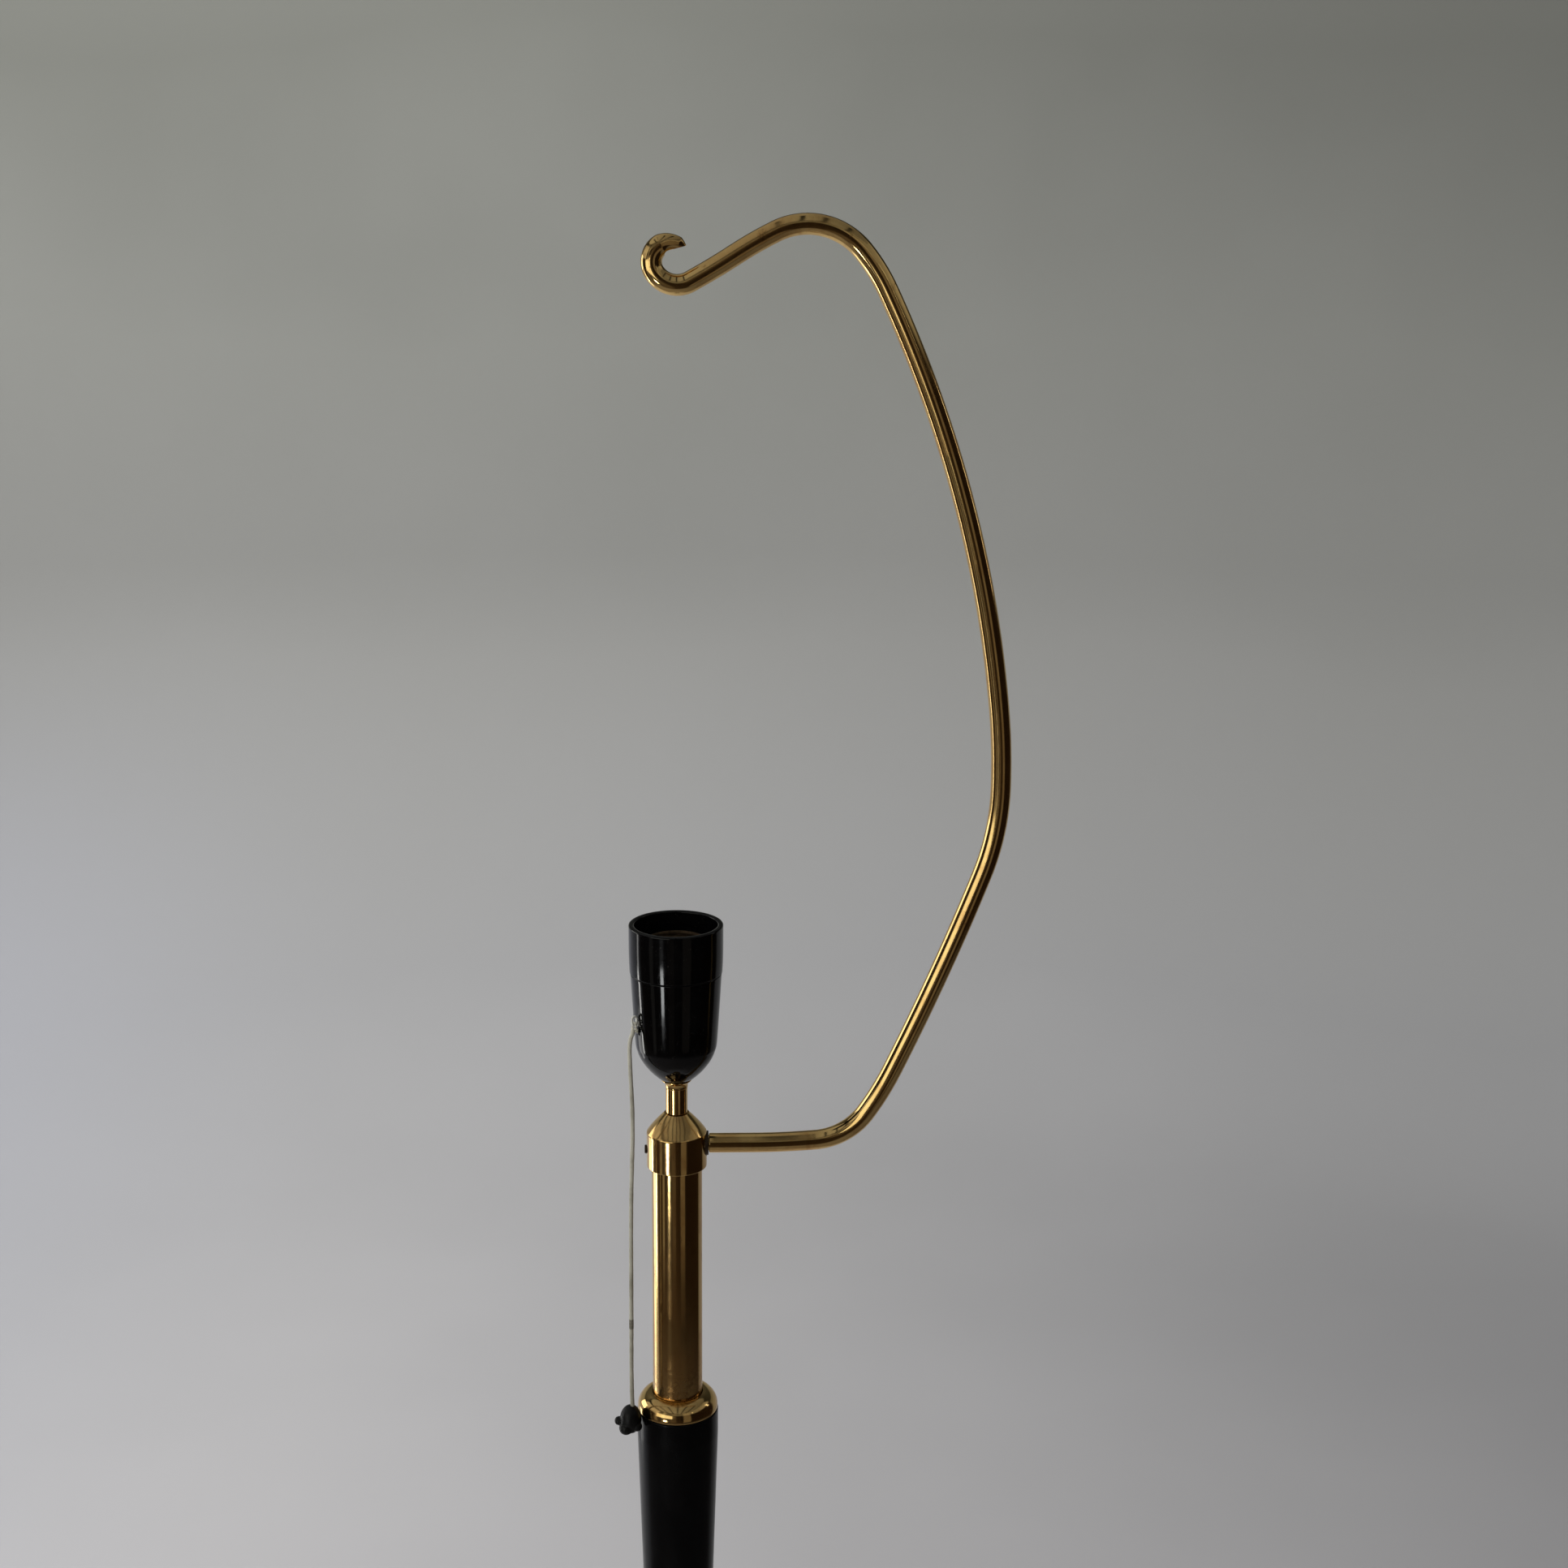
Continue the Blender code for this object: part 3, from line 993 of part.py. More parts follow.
def build_lever(finish):
    """The lever about its pivot: +X points out of the holder and +Y along the pin."""
    steel = finish["steel"]
    half = LEVER_THICKNESS / 2
    eye_x = EYE_OUT - PIVOT_OUT
    eye_z = PIVOT_DEPTH - EYE_DEPTH
    arm_low = eye_z - EYE_HEIGHT / 2 + SLOT_MARGIN
    arm_high = arm_low + LEVER_ARM_HEIGHT
    inner = eye_x - EYE_WIDTH / 2 + EYE_RIM / 2
    knee = LEVER_HUB_RADIUS * 2
    profile = [(-LEVER_HUB_RADIUS / 2, LEVER_HUB_RADIUS / 2), (LEVER_HUB_RADIUS / 2, -LEVER_HUB_RADIUS / 2),
               (knee, arm_low), (inner, arm_low), (inner, arm_high), (knee - LEVER_HUB_RADIUS / 2, arm_high)]
    hub = prism("switch_lever", arc_points((0.0, 0.0), (LEVER_HUB_RADIUS, LEVER_HUB_RADIUS), 0, 345, 23),
                -half, half, steel)
    join(hub, prism("lever_arm", profile, -half, half, steel))
    eye = [(eye_x + x, eye_z + z) for x, z in oval(EYE_WIDTH, EYE_HEIGHT, 6)]
    join(hub, prism("lever_eye", eye, -half, half, steel))
    hole = [(eye_x + x, eye_z + z) for x, z in oval(EYE_WIDTH - 2 * EYE_RIM, EYE_HEIGHT - 2 * EYE_RIM, 6)]
    cut(hub, prism("eye_hole", hole, -half - CUT_OVERRUN, half + CUT_OVERRUN, steel))
    cut(hub, rod("lever_bore", PIN_RADIUS + RUNNING_GAP, -half - CUT_OVERRUN, half + CUT_OVERRUN, TINY_FACETS,
                 steel))
    return stand_up(hub)


# Pull cord, knot and knob


def smooth_route(points, step):
    """Reads evenly spaced points from a smooth curve through the route's own points."""
    route = [Vector(point) for point in points]
    ends = [route[0] * 2 - route[1]] + route + [route[-1] * 2 - route[-2]]
    dense = []
    parts = 12
    for index in range(1, len(ends) - 2):
        p0, p1, p2, p3 = ends[index - 1:index + 3]
        for part in range(parts):
            t = part / parts
            dense.append(0.5 * (2 * p1 + (p2 - p0) * t + (2 * p0 - 5 * p1 + 4 * p2 - p3) * t ** 2
                                + (3 * p1 - p0 - 3 * p2 + p3) * t ** 3))
    dense.append(route[-1])
    lengths = [0.0]
    for before, after in zip(dense[:-1], dense[1:]):
        lengths.append(lengths[-1] + (after - before).length)
    count = max(2, round(lengths[-1] / step))
    even = []
    cursor = 0
    for number in range(count + 1):
        wanted = lengths[-1] * number / count
        while cursor < len(lengths) - 2 and lengths[cursor + 1] < wanted:
            cursor += 1
        span = lengths[cursor + 1] - lengths[cursor]
        share = 0.0 if span == 0 else (wanted - lengths[cursor]) / span
        even.append(dense[cursor].lerp(dense[cursor + 1], share))
    return even


def build_cord(finish, origin):
    curve = bpy.data.curves.new("pull_cord", "CURVE")
    curve.dimensions = "3D"
    curve.bevel_depth = CORD_RADIUS
    curve.bevel_resolution = 2
    curve.use_fill_caps = True
    points = smooth_route(CORD_ROUTE, CORD_STEP)
    spline = curve.splines.new("POLY")
    spline.points.add(len(points) - 1)
    for target, point in zip(spline.points, points):
        target.co = (*(point - origin), 1.0)
    curve.materials.append(finish["cord"])
    cord = bpy.data.objects.new("pull_cord", curve)
    bpy.context.scene.collection.objects.link(cord)
    return cord


# Places of the front lobe, the side lobe and the nub, as shares of the knob's radius and half height

LOBE_SHARES = ((-0.36, -0.45, -0.49), (0.62, -0.50, -0.33), (-1.15, 0.05, -0.13))


def build_knob(finish, origin):
    """Lobed pull knob hanging from the end of the cord, with a socket in its top."""
    end = Vector(CORD_ROUTE[-1])
    top = end.z - SEAT_GAP + KNOB_SOCKET_DEPTH
    hole = Vector((end.x, end.y, top - KNOB_HEIGHT / 2)) - origin
    centre = hole - Vector((KNOB_OFFSET, 0.0, 0.0))
    half = KNOB_HEIGHT / 2
    bakelite = finish["bakelite"]
    knob = ball("pull_knob", (KNOB_RADIUS, KNOB_RADIUS, half), centre, 14, bakelite)
    lobe_radii = (KNOB_FRONT_LOBE_RADIUS, KNOB_SIDE_LOBE_RADIUS, KNOB_NUB_RADIUS)
    for radius, (share_x, share_y, share_z) in zip(lobe_radii, LOBE_SHARES):
        spot = centre + Vector((share_x * KNOB_RADIUS, share_y * KNOB_RADIUS, share_z * half))
        join(knob, ball("lobe", [radius] * 3, spot, 10, bakelite))
    socket = rod("cord_socket", CORD_RADIUS + SEAT_GAP, half - KNOB_SOCKET_DEPTH, half + CUT_OVERRUN, TINY_FACETS,
                 bakelite)
    return cut(knob, shift(socket, hole))


def build_lamp():
    clear_scene()
    finish = make_materials()
    for piece in build_base(finish) + build_column(finish):
        place(piece, None)

    head = make_empty("head_axis", (0.0, 0.0, COLLAR_Z))
    for piece in build_head(finish):
        place(piece, head)

    holder = make_empty("holder_axis", (0.0, 0.0, RIM_Z - COLLAR_Z), head, PULL_AZIMUTH)
    fixed = [build_skirt(finish), build_body(finish), build_core(finish), build_shell(finish), build_pin(finish)]
    fixed += build_contacts(finish)
    fixed += build_terminal(finish, 1) + build_terminal(finish, -1)
    for piece in fixed:
        place(piece, holder)

    pivot = make_empty("lever_axis", (PIVOT_OUT, 0.0, -PIVOT_DEPTH), holder)
    place(build_spring(finish), pivot)
    place(build_lever(finish), pivot)
    place(build_rotor(finish), pivot)

    out = Vector((math.cos(PULL_AZIMUTH), math.sin(PULL_AZIMUTH), 0.0))
    knot_depth = EYE_DEPTH + EYE_HEIGHT / 2 + SEAT_GAP + KNOT_RADIUS
    hang = out * KNOT_OUT + Vector((0.0, 0.0, RIM_Z - knot_depth))
    swing = make_empty("cord_axis", hang - Vector((0.0, 0.0, COLLAR_Z)), head)
    knot = ball("cord_knot", [KNOT_RADIUS] * 3, (0.0, 0.0, 0.0), 12, finish["cord"])
    place(knot, swing)
    place(build_cord(finish, hang), swing)
    place(build_knob(finish, hang), swing)


build_lamp()
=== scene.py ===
"""Brass floor lamp with a pull-cord lampholder and a bent shade arm.

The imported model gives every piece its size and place. This script gives the pieces their
fine surfaces and their finishes, and sets the studio and the camera around the lamp.
Lengths are in metres, +Z is up, the origin is on the floor under the middle of the base,
and the arm leaves the head towards +X.
"""

import json
import math
import random

import bmesh
import bpy
from bpy.props import FloatProperty, FloatVectorProperty, IntProperty, PointerProperty
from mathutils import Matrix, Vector

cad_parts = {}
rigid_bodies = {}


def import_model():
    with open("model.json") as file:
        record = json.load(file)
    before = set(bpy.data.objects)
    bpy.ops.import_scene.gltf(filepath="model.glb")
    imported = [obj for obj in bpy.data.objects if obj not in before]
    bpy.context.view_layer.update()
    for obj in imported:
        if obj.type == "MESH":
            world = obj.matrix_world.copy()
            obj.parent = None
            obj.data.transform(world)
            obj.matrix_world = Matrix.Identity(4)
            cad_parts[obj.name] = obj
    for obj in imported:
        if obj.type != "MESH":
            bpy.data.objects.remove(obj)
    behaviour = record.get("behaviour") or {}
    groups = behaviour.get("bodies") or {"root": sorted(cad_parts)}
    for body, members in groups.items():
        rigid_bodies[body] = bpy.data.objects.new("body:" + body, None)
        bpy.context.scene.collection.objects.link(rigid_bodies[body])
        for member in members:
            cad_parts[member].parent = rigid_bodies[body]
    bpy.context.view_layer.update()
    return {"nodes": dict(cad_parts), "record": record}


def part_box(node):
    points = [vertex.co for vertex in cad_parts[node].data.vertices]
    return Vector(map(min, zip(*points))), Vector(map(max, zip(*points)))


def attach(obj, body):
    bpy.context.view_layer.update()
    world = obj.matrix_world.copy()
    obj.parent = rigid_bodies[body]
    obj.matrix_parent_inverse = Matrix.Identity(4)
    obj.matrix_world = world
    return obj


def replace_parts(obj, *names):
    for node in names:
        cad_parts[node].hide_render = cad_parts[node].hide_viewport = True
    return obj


bl_info = {
    "name": "Brass floor lamp",
    "version": (1, 0, 0),
    "blender": (4, 5, 0),
    "location": "View3D > Sidebar > Floor lamp",
    "description": "Fine surfaces, finishes and studio for a brass floor lamp",
    "category": "Object",
}

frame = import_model()
IMAGE_SIDE = 1932

BODY_OF = {}
for body_name, members in frame["record"]["behaviour"]["bodies"].items():
    for member in members:
        BODY_OF[member] = body_name


# Properties that a user would change


def length(name, description, default):
    return FloatProperty(name=name, description=description, default=default, unit="LENGTH", precision=5)


def angle(name, description, degrees):
    return FloatProperty(name=name, description=description, default=math.radians(degrees), subtype="ANGLE")


def colour(name, description, default):
    return FloatVectorProperty(name=name, description=description, default=default, size=3, min=0.0, max=1.0,
                               subtype="COLOR")


def share(name, description, default):
    return FloatProperty(name=name, description=description, default=default, min=0.0, max=1.0,
                         subtype="FACTOR")


def power(name, description, default):
    return FloatProperty(name=name, description=description, default=default, unit="POWER")


def count(name, description, default):
    return IntProperty(name=name, description=description, default=default, min=3)


BOXES = {node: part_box(node) for node in frame["nodes"]}


def half_width(node):
    low, high = BOXES[node]
    return (high.x - low.x) / 2


def lowest(node):
    return BOXES[node][0].z


def highest(node):
    return BOXES[node][1].z


def span(node):
    """The lowest and the highest point of a node, and half its width."""
    return lowest(node), highest(node), half_width(node)


class LampBaseSizes(bpy.types.PropertyGroup):
    facets: count("Facets", "Facets round the base", 224)
    radius: length("Radius", "Radius of the spun cover", half_width("base_cover"))
    wall: length("Wall", "Thickness of the spun sheet", 0.0012)
    skirt: length("Skirt", "Height of the skirt's straight part", 0.0160)
    shoulder: length("Shoulder", "Radius of the rounded shoulder", 0.0050)
    crown: length("Crown", "Radius of the flat seat in the middle", 0.0260)
    hem: length("Hem", "Rounding of the cover's lower edge", 0.0005)
    rod_hole: length("Rod hole", "Radius of the hole for the tie rod", 0.0053)
    inlet_height: length("Inlet height", "Height of the cord inlet", 0.0090)
    inlet_hole: length("Inlet hole", "Radius of the hole for the cord inlet", 0.0055)
    felt_edge: length("Felt edge", "Rounding of the felt's edge", 0.0006)


class LampColumnSizes(bpy.types.PropertyGroup):
    facets: count("Facets", "Facets round the column", 144)
    edge: length("Edge", "Rounding of a turned edge", 0.00030)
    foot_flange: length("Foot flange", "Height of the foot's flange", 0.0022)
    foot_neck: length("Foot neck", "Radius of the foot's neck", 0.0124)
    socket: length("Socket", "Radius of the sockets for the lower tube", 0.0098)
    socket_depth: length("Socket depth", "Depth of the sockets for the lower tube", 0.0080)
    tube_wall: length("Tube wall", "Wall of the tubes", 0.0011)
    ferrule_foot: length("Ferrule foot", "Radius of the ferrule's lower end", 0.0108)
    ferrule_bead: length("Ferrule bead", "Height of the ferrule's upper band", 0.0030)
    stem_foot: length("Stem foot", "Radius of the stem's lower end", 0.01125)
    stem_straight: length("Stem straight", "Length of the stem's even top", 0.0140)
    stem_edge: length("Stem edge", "Rounding of the stem's upper edge", 0.0008)
    ring_land: length("Ring land", "Height of the ring's straight foot", 0.0010)
    ring_bore: length("Ring bore", "Radius of the ring's bore", 0.01315)


class LampHeadSizes(bpy.types.PropertyGroup):
    facets: count("Facets", "Facets round the head", 144)
    edge: length("Edge", "Rounding of a turned edge", 0.00022)
    cone_top: length("Cone top", "Radius of the collar's top face", 0.0063)
    cone_height: length("Cone height", "Height of the collar's cone", 0.0105)
    lip: length("Lip", "Depth of the collar's lip over the tube", 0.0040)
    lip_bore: length("Lip bore", "Radius of the bore over the tube", 0.01305)
    turning_bore: length("Turning bore", "Radius of the bore over the spigot", 0.0087)
    spigot_room: length("Spigot room", "Height of the room over the tube", 0.0108)
    nipple_hole: length("Nipple hole", "Radius of the hole for the nipple", 0.0043)
    arm_height: length("Arm height", "Height of the arm over the collar's lower edge", 0.0117)
    seat_face: length("Seat face", "Distance of the arm nut's seat from the axis", 0.0139)
    seat_radius: length("Seat radius", "Radius of the arm nut's seat", 0.0065)
    stud_hole: length("Stud hole", "Radius of the hole for the arm's stud", 0.0043)
    screw_height: length("Screw height", "Height of the set screw over the collar's lower edge", 0.0085)
    screw_radius: length("Screw radius", "Radius of the set screw", 0.0022)
    screw_hole: length("Screw hole", "Radius of the set screw's hole", 0.0025)
    screw_slot: length("Screw slot", "Width of the screwdriver slot", 0.0007)
    screw_slot_depth: length("Screw slot depth", "Depth of the screwdriver slot", 0.0008)
    screw_tip: length("Screw tip", "Distance of the set screw's tip from the axis", 0.0082)


class LampArmSizes(bpy.types.PropertyGroup):
    facets: count("Facets", "Facets round the arm", 48)
    radius: length("Radius", "Radius of the bent rod", 0.0050)
    stud: length("Stud", "Radius of the threaded stud", 0.0040)
    start: length("Start", "Distance of the stud's end from the axis", 0.0092)
    shoulder: length("Shoulder", "Distance of the rod's shoulder from the axis", 0.0164)
    edge: length("Edge", "Rounding of the rod's shoulder", 0.00035)
    ring_turn: angle("Ring turn", "Turn between two rings of the mesh", 2.0)
    ring_spacing: length("Ring spacing", "Longest distance between two rings of the mesh", 0.0050)
    cut_length: length("Cut length", "Length of the flat under the hook's end", 0.0082)
    cut_rise: length("Cut rise", "Rise of the flat over the tip's middle", 0.0004)
    cut_corner: length("Cut corner", "Size of the slanted corner behind the flat", 0.0011)
    cut_depth: length("Cut depth", "Depth of the cut under the hook's end", 0.0050)
    cut_slope: share("Cut slope", "Slope of the flat under the hook's end", 0.27)


class LampHolderSizes(bpy.types.PropertyGroup):
    facets: count("Facets", "Facets round the lampholder", 160)
    edge: length("Edge", "Rounding of a moulded edge", 0.00030)
    azimuth: angle("Pull side", "Direction of the pull side", 210.0)
    rim_wall: length("Rim wall", "Wall of the skirt's rim", 0.0029)
    rim_round: length("Rim round", "Rounding of the skirt's rim", 0.0009)
    skirt_foot: length("Skirt foot", "Radius of the skirt's lower edge", 0.0231)
    flange_depth: length("Flange depth", "Depth of the inner flange under the rim", 0.0109)
    flange_wall: length("Flange wall", "Thickness of the inner flange", 0.0013)
    flange_bore: length("Flange bore", "Radius of the hole in the inner flange", 0.0148)
    thread: length("Thread", "Radius of the skirt's thread", 0.0195)
    body_top: length("Body top", "Radius of the body's upper edge", 0.0228)
    body_thread_depth: length("Body thread depth", "Depth of the threaded neck under the rim", 0.0130)
    body_bore: length("Body bore", "Radius of the body's bore", 0.0176)
    cavity: length("Cavity", "Radius of the body's cavity", 0.0162)
    floor_wall: length("Floor wall", "Thickness of the body's floor", 0.0037)
    floor_radius: length("Floor radius", "Radius of the body's flat floor", 0.0088)
    foot: length("Foot", "Radius of the body's lower face", 0.0076)
    shoulder_depth: length("Shoulder depth", "Depth of the barrel's end under the rim", 0.0608)
    shoulder: length("Shoulder", "Radius of the barrel's end", 0.02055)
    core_depth: length("Core depth", "Depth of the core's foot under the rim", 0.0460)
    slot_width: length("Slot width", "Width of the lever's slot", 0.0017)
    slot_high: length("Slot top", "Depth of the slot's upper end under the rim", 0.0466)
    slot_low: length("Slot foot", "Depth of the slot's lower end under the rim", 0.0546)
    shell_wall: length("Shell wall", "Sheet of the screw shell", 0.0005)
    shell_wave: length("Shell wave", "Depth of the rolled thread", 0.00045)
    shell_pitch: length("Shell pitch", "Pitch of the rolled thread", 0.0036)


class LampPullSizes(bpy.types.PropertyGroup):
    wire: length("Wire", "Radius of the eye's wire", 0.00062)
    eye_out: length("Eye out", "Distance of the eye's middle from the axis", 0.02365)
    eye_depth: length("Eye depth", "Depth of the eye's middle under the rim", 0.0465)
    eye_width: length("Eye width", "Width over the eye", 0.0037)
    eye_height: length("Eye height", "Height over the eye", 0.0058)
    pivot_out: length("Pivot out", "Distance of the lever's pivot from the axis", 0.0080)
    pivot_depth: length("Pivot depth", "Depth of the lever's pivot under the rim", 0.0540)
    plate: length("Plate", "Thickness of the lever's plate", 0.0012)
    hub: length("Hub", "Radius of the lever's hub", 0.0030)
    hub_bore: length("Hub bore", "Radius of the lever's bore", 0.0012)
    arm_height: length("Arm height", "Height of the lever's arm", 0.0024)
    arm_depth: length("Arm depth", "Depth of the arm's lower edge under the rim", 0.0495)
    cord_diameter: length("Cord diameter", "Diameter of the pull cord", 0.0022)
    cord_length: length("Cord length", "Length of the pull cord from the knot to the knob", 0.2053)
    cord_ring: length("Cord ring", "Distance between two rings of the cord's mesh", 0.00035)
    cord_facets: count("Cord facets", "Facets round the cord", 24)
    braid_pitch: length("Braid pitch", "Length of one turn of the braid", 0.0056)
    braid_relief: share("Braid relief", "Relief of the braid as a share of the cord's radius", 0.055)
    wrap_height: length("Wrap height", "Height of the thread wound over the cord", 1.0000)
    wrap_length: length("Wrap length", "Length of the thread wound over the cord", 0.0054)
    thread_pitch: length("Thread pitch", "Distance between two turns of the thread", 0.0006)
    knot_radius: length("Knot radius", "Radius of the knot's turns", 0.00080)
    knot_cord: length("Knot cord", "Radius of the tightened cord in the knot", 0.00042)
    knot_out: length("Knot out", "Distance of the knot's middle from the axis", 0.0228)
    knob_radius: length("Knob radius", "Radius of the knob's body", 0.0056)
    knob_height: length("Knob height", "Height of the knob's body", 0.0156)
    front_lobe: length("Front lobe", "Radius of the knob's front lobe", 0.0037)
    side_lobe: length("Side lobe", "Radius of the knob's side lobe", 0.0026)
    nub: length("Nub", "Radius of the knob's nub", 0.0023)
    knob_offset: length("Knob offset", "Distance of the knob's middle from the cord", 0.0009)
    knob_grain: length("Knob grain", "Size of the cells that blend the knob's lobes", 0.00030)


class LampColours(bpy.types.PropertyGroup):
    brass: colour("Brass", "Polished brass", (0.80, 0.55, 0.22))
    brass_deep: colour("Deep brass", "Brass under a thin tarnish", (0.58, 0.335, 0.120))
    brass_aged: colour("Aged brass", "Brass that has never been polished", (0.085, 0.056, 0.032))
    tarnish: colour("Tarnish", "Brown spots on the brass", (0.21, 0.105, 0.035))
    bakelite: colour("Bakelite", "Black moulded bakelite", (0.0014, 0.0014, 0.0018))
    bakelite_worn: colour("Worn bakelite", "Bakelite where hands have dulled it", (0.0050, 0.0050, 0.0055))
    lacquer: colour("Lacquer", "Black lacquer of the stem", (0.0013, 0.0013, 0.0016))
    lacquer_worn: colour("Worn lacquer", "Lacquer where it is rubbed", (0.0050, 0.0050, 0.0054))
    steel: colour("Zinc", "Zinc-plated steel", (0.60, 0.60, 0.58))
    nickel: colour("Nickel", "Satin nickel plating", (0.93, 0.93, 0.88))
    blackened: colour("Blackened steel", "Oil-blackened steel", (0.070, 0.050, 0.036))
    iron: colour("Iron", "Raw cast iron", (0.105, 0.103, 0.10))
    rust: colour("Rust", "Rust on the cast iron", (0.16, 0.075, 0.035))
    porcelain: colour("Porcelain", "Glazed porcelain", (0.78, 0.76, 0.70))
    specks: colour("Specks", "Brown specks in the porcelain's glaze", (0.24, 0.18, 0.12))
    dust: colour("Dust", "Dust on the bakelite", (0.22, 0.21, 0.19))
    felt: colour("Felt", "Green felt", (0.045, 0.085, 0.055))
    cord: colour("Cord", "Woven cotton of the cord", (0.78, 0.76, 0.66))
    cord_soiled: colour("Soiled cord", "Cotton where hands have soiled it", (0.37, 0.35, 0.28))
    thread: colour("Thread", "Waxed thread wound over the cord", (0.29, 0.27, 0.22))


class LampStudio(bpy.types.PropertyGroup):
    floor: colour("Floor", "Pale studio floor", (0.70, 0.69, 0.71))
    floor_left: colour("Floor left", "Cooler left side of the floor", (0.60, 0.61, 0.67))
    wall_foot: colour("Wall foot", "Foot of the studio wall", (0.54, 0.54, 0.55))
    wall: colour("Wall", "Lower part of the studio wall", (0.55, 0.55, 0.535))
    # The middle and top of the wall are painted darker than its foot, as painted shade towards the top
    wall_high_shaded: colour("Wall high", "Middle of the studio wall", (0.47, 0.475, 0.445))
    wall_top_shaded: colour("Wall top", "Upper part of the studio wall", (0.335, 0.34, 0.31))
    # Front and front right are painted shade that only reflections see, in place of an unlit room behind the
    # camera; front top is a painted light band high up on that side, also seen only in reflections
    front: colour("Front", "Left of the studio behind the camera", (0.080, 0.056, 0.040))
    front_right_shade: colour("Front right", "Right of the studio behind the camera", (0.034, 0.022, 0.015))
    front_top_light: colour("Front top", "Upper part of the wall behind the camera", (0.70, 0.69, 0.66))
    world: colour("World", "Light over the left of the studio", (0.40, 0.40, 0.38))
    world_right: colour("World right", "Light over the right of the studio", (0.12, 0.12, 0.115))
    beam: colour("Beam", "Dark beams under the ceiling", (0.02, 0.02, 0.02))
    floor_radius: length("Floor radius", "Radius of the flat floor", 2.50)
    sweep_radius: length("Sweep radius", "Radius of the sweep between floor and wall", 0.90)
    wall_height: length("Wall height", "Height of the studio wall", 4.20)
    eye_height: length("Eye height", "Height of the camera over the floor", 1.5509)
    eye_distance: length("Eye distance", "Distance of the camera in front of the lamp", 1.0721)
    eye_side: length("Eye side", "Distance of the camera to the right of the lamp", 0.05286)
    heading: angle("Heading", "Direction of the camera, counted from +Y towards +X", 2.026)
    pitch: angle("Pitch", "Downward tilt of the camera", 14.1)
    roll: angle("Roll", "Roll of the camera", 0.4635)
    focal_pixels: FloatProperty(name="Focal length", description="Focal length in pixels of the picture",
                                default=2800.0, subtype="PIXEL")
    back: power("Back light", "Power of the wide light over the back of the studio", 92.0)
    key: power("Key light", "Power of the soft light from the left of the camera", 15.0)


def sizes(group):
    return getattr(bpy.context.scene, group)


# Shader maths written as Python sums


class Value:
    """A socket of a node tree. Python's operators on it add Math nodes."""

    def __init__(self, tree, socket):
        self.tree = tree
        self.socket = socket

    def maths(self, operation, *terms):
        node = self.tree.nodes.new("ShaderNodeMath")
        node.operation = operation
        for target, term in zip(node.inputs, terms):
            join(self.tree, target, term)
        return Value(self.tree, node.outputs[0])

    def __add__(self, other):
        return self.maths("ADD", self, other)

    def __radd__(self, other):
        return self.maths("ADD", other, self)

    def __sub__(self, other):
        return self.maths("SUBTRACT", self, other)

    def __rsub__(self, other):
        return self.maths("SUBTRACT", other, self)

    def __mul__(self, other):
        return self.maths("MULTIPLY", self, other)

    def __rmul__(self, other):
        return self.maths("MULTIPLY", other, self)

    def __truediv__(self, other):
        return self.maths("DIVIDE", self, other)

    def __rtruediv__(self, other):
        return self.maths("DIVIDE", other, self)

    def __pow__(self, other):
        return self.maths("POWER", self, other)

    def at_least(self, other):
        return self.maths("MAXIMUM", self, other)

    def at_most(self, other):
        return self.maths("MINIMUM", self, other)


def join(tree, target, term):
    if isinstance(term, Value):
        tree.links.new(term.socket, target)
    elif hasattr(term, "__len__") and len(term) == 3 and target.type == "RGBA":
        target.default_value = (*term, 1.0)
    else:
        target.default_value = term


# Numbers of a Mix node's sockets for colours, since its sockets share their names with other kinds

MIX_FACTOR = 0
MIX_FIRST = 6
MIX_SECOND = 7
MIX_RESULT = 2


class Graph:
    """A node tree. Every node but the Math nodes comes from its node method."""

    def __init__(self, tree):
        self.tree = tree

    def node(self, kind, settings, sockets, output=0):
        """Adds a node and gives the value of its output, or a list where output is a tuple."""
        node = self.tree.nodes.new(kind)
        for key, value in settings.items():
            if key == "stops":
                set_stops(node.color_ramp, value)
            else:
                setattr(node, key, value)
        for key, term in sockets.items():
            join(self.tree, node.inputs[key], term)
        if isinstance(output, tuple):
            return [Value(self.tree, node.outputs[key]) for key in output]
        return Value(self.tree, node.outputs[output])

    def split(self, vector):
        return self.node("ShaderNodeSeparateXYZ", {}, {"Vector": vector}, ("X", "Y", "Z"))

    def vector(self, x, y, z):
        return self.node("ShaderNodeCombineXYZ", {}, {"X": x, "Y": y, "Z": z})

    def stretch(self, vector, factors):
        return self.node("ShaderNodeVectorMath", {"operation": "MULTIPLY"}, {0: vector, 1: factors})

    def scale(self, vector, factor):
        return self.node("ShaderNodeVectorMath", {"operation": "SCALE"}, {"Vector": vector, "Scale": factor})

    def noise(self, place, scale, detail=2.0, roughness=0.5, distortion=0.0):
        sockets = {"Vector": place, "Scale": scale, "Detail": detail, "Roughness": roughness,
                   "Distortion": distortion}
        return self.node("ShaderNodeTexNoise", {}, sockets, "Fac")

    def cells(self, place, scale):
        return self.node("ShaderNodeTexVoronoi", {}, {"Vector": place, "Scale": scale}, "Distance")

    def ramp(self, value, low, high, interpolation="LINEAR"):
        """Rises from 0 at low to 1 at high, and stays level past both."""
        return self.node("ShaderNodeMapRange", {"interpolation_type": interpolation},
                         {"Value": value, "From Min": low, "From Max": high})

    def step(self, value, low, high):
        """The same rise with soft ends."""
        return self.ramp(value, low, high, "SMOOTHSTEP")

    def mix(self, factor, first, second):
        """Blends two colours: the first at 0, the second at 1."""
        sockets = {MIX_FACTOR: factor, MIX_FIRST: first, MIX_SECOND: second}
        return self.node("ShaderNodeMix", {"data_type": "RGBA"}, sockets, MIX_RESULT)


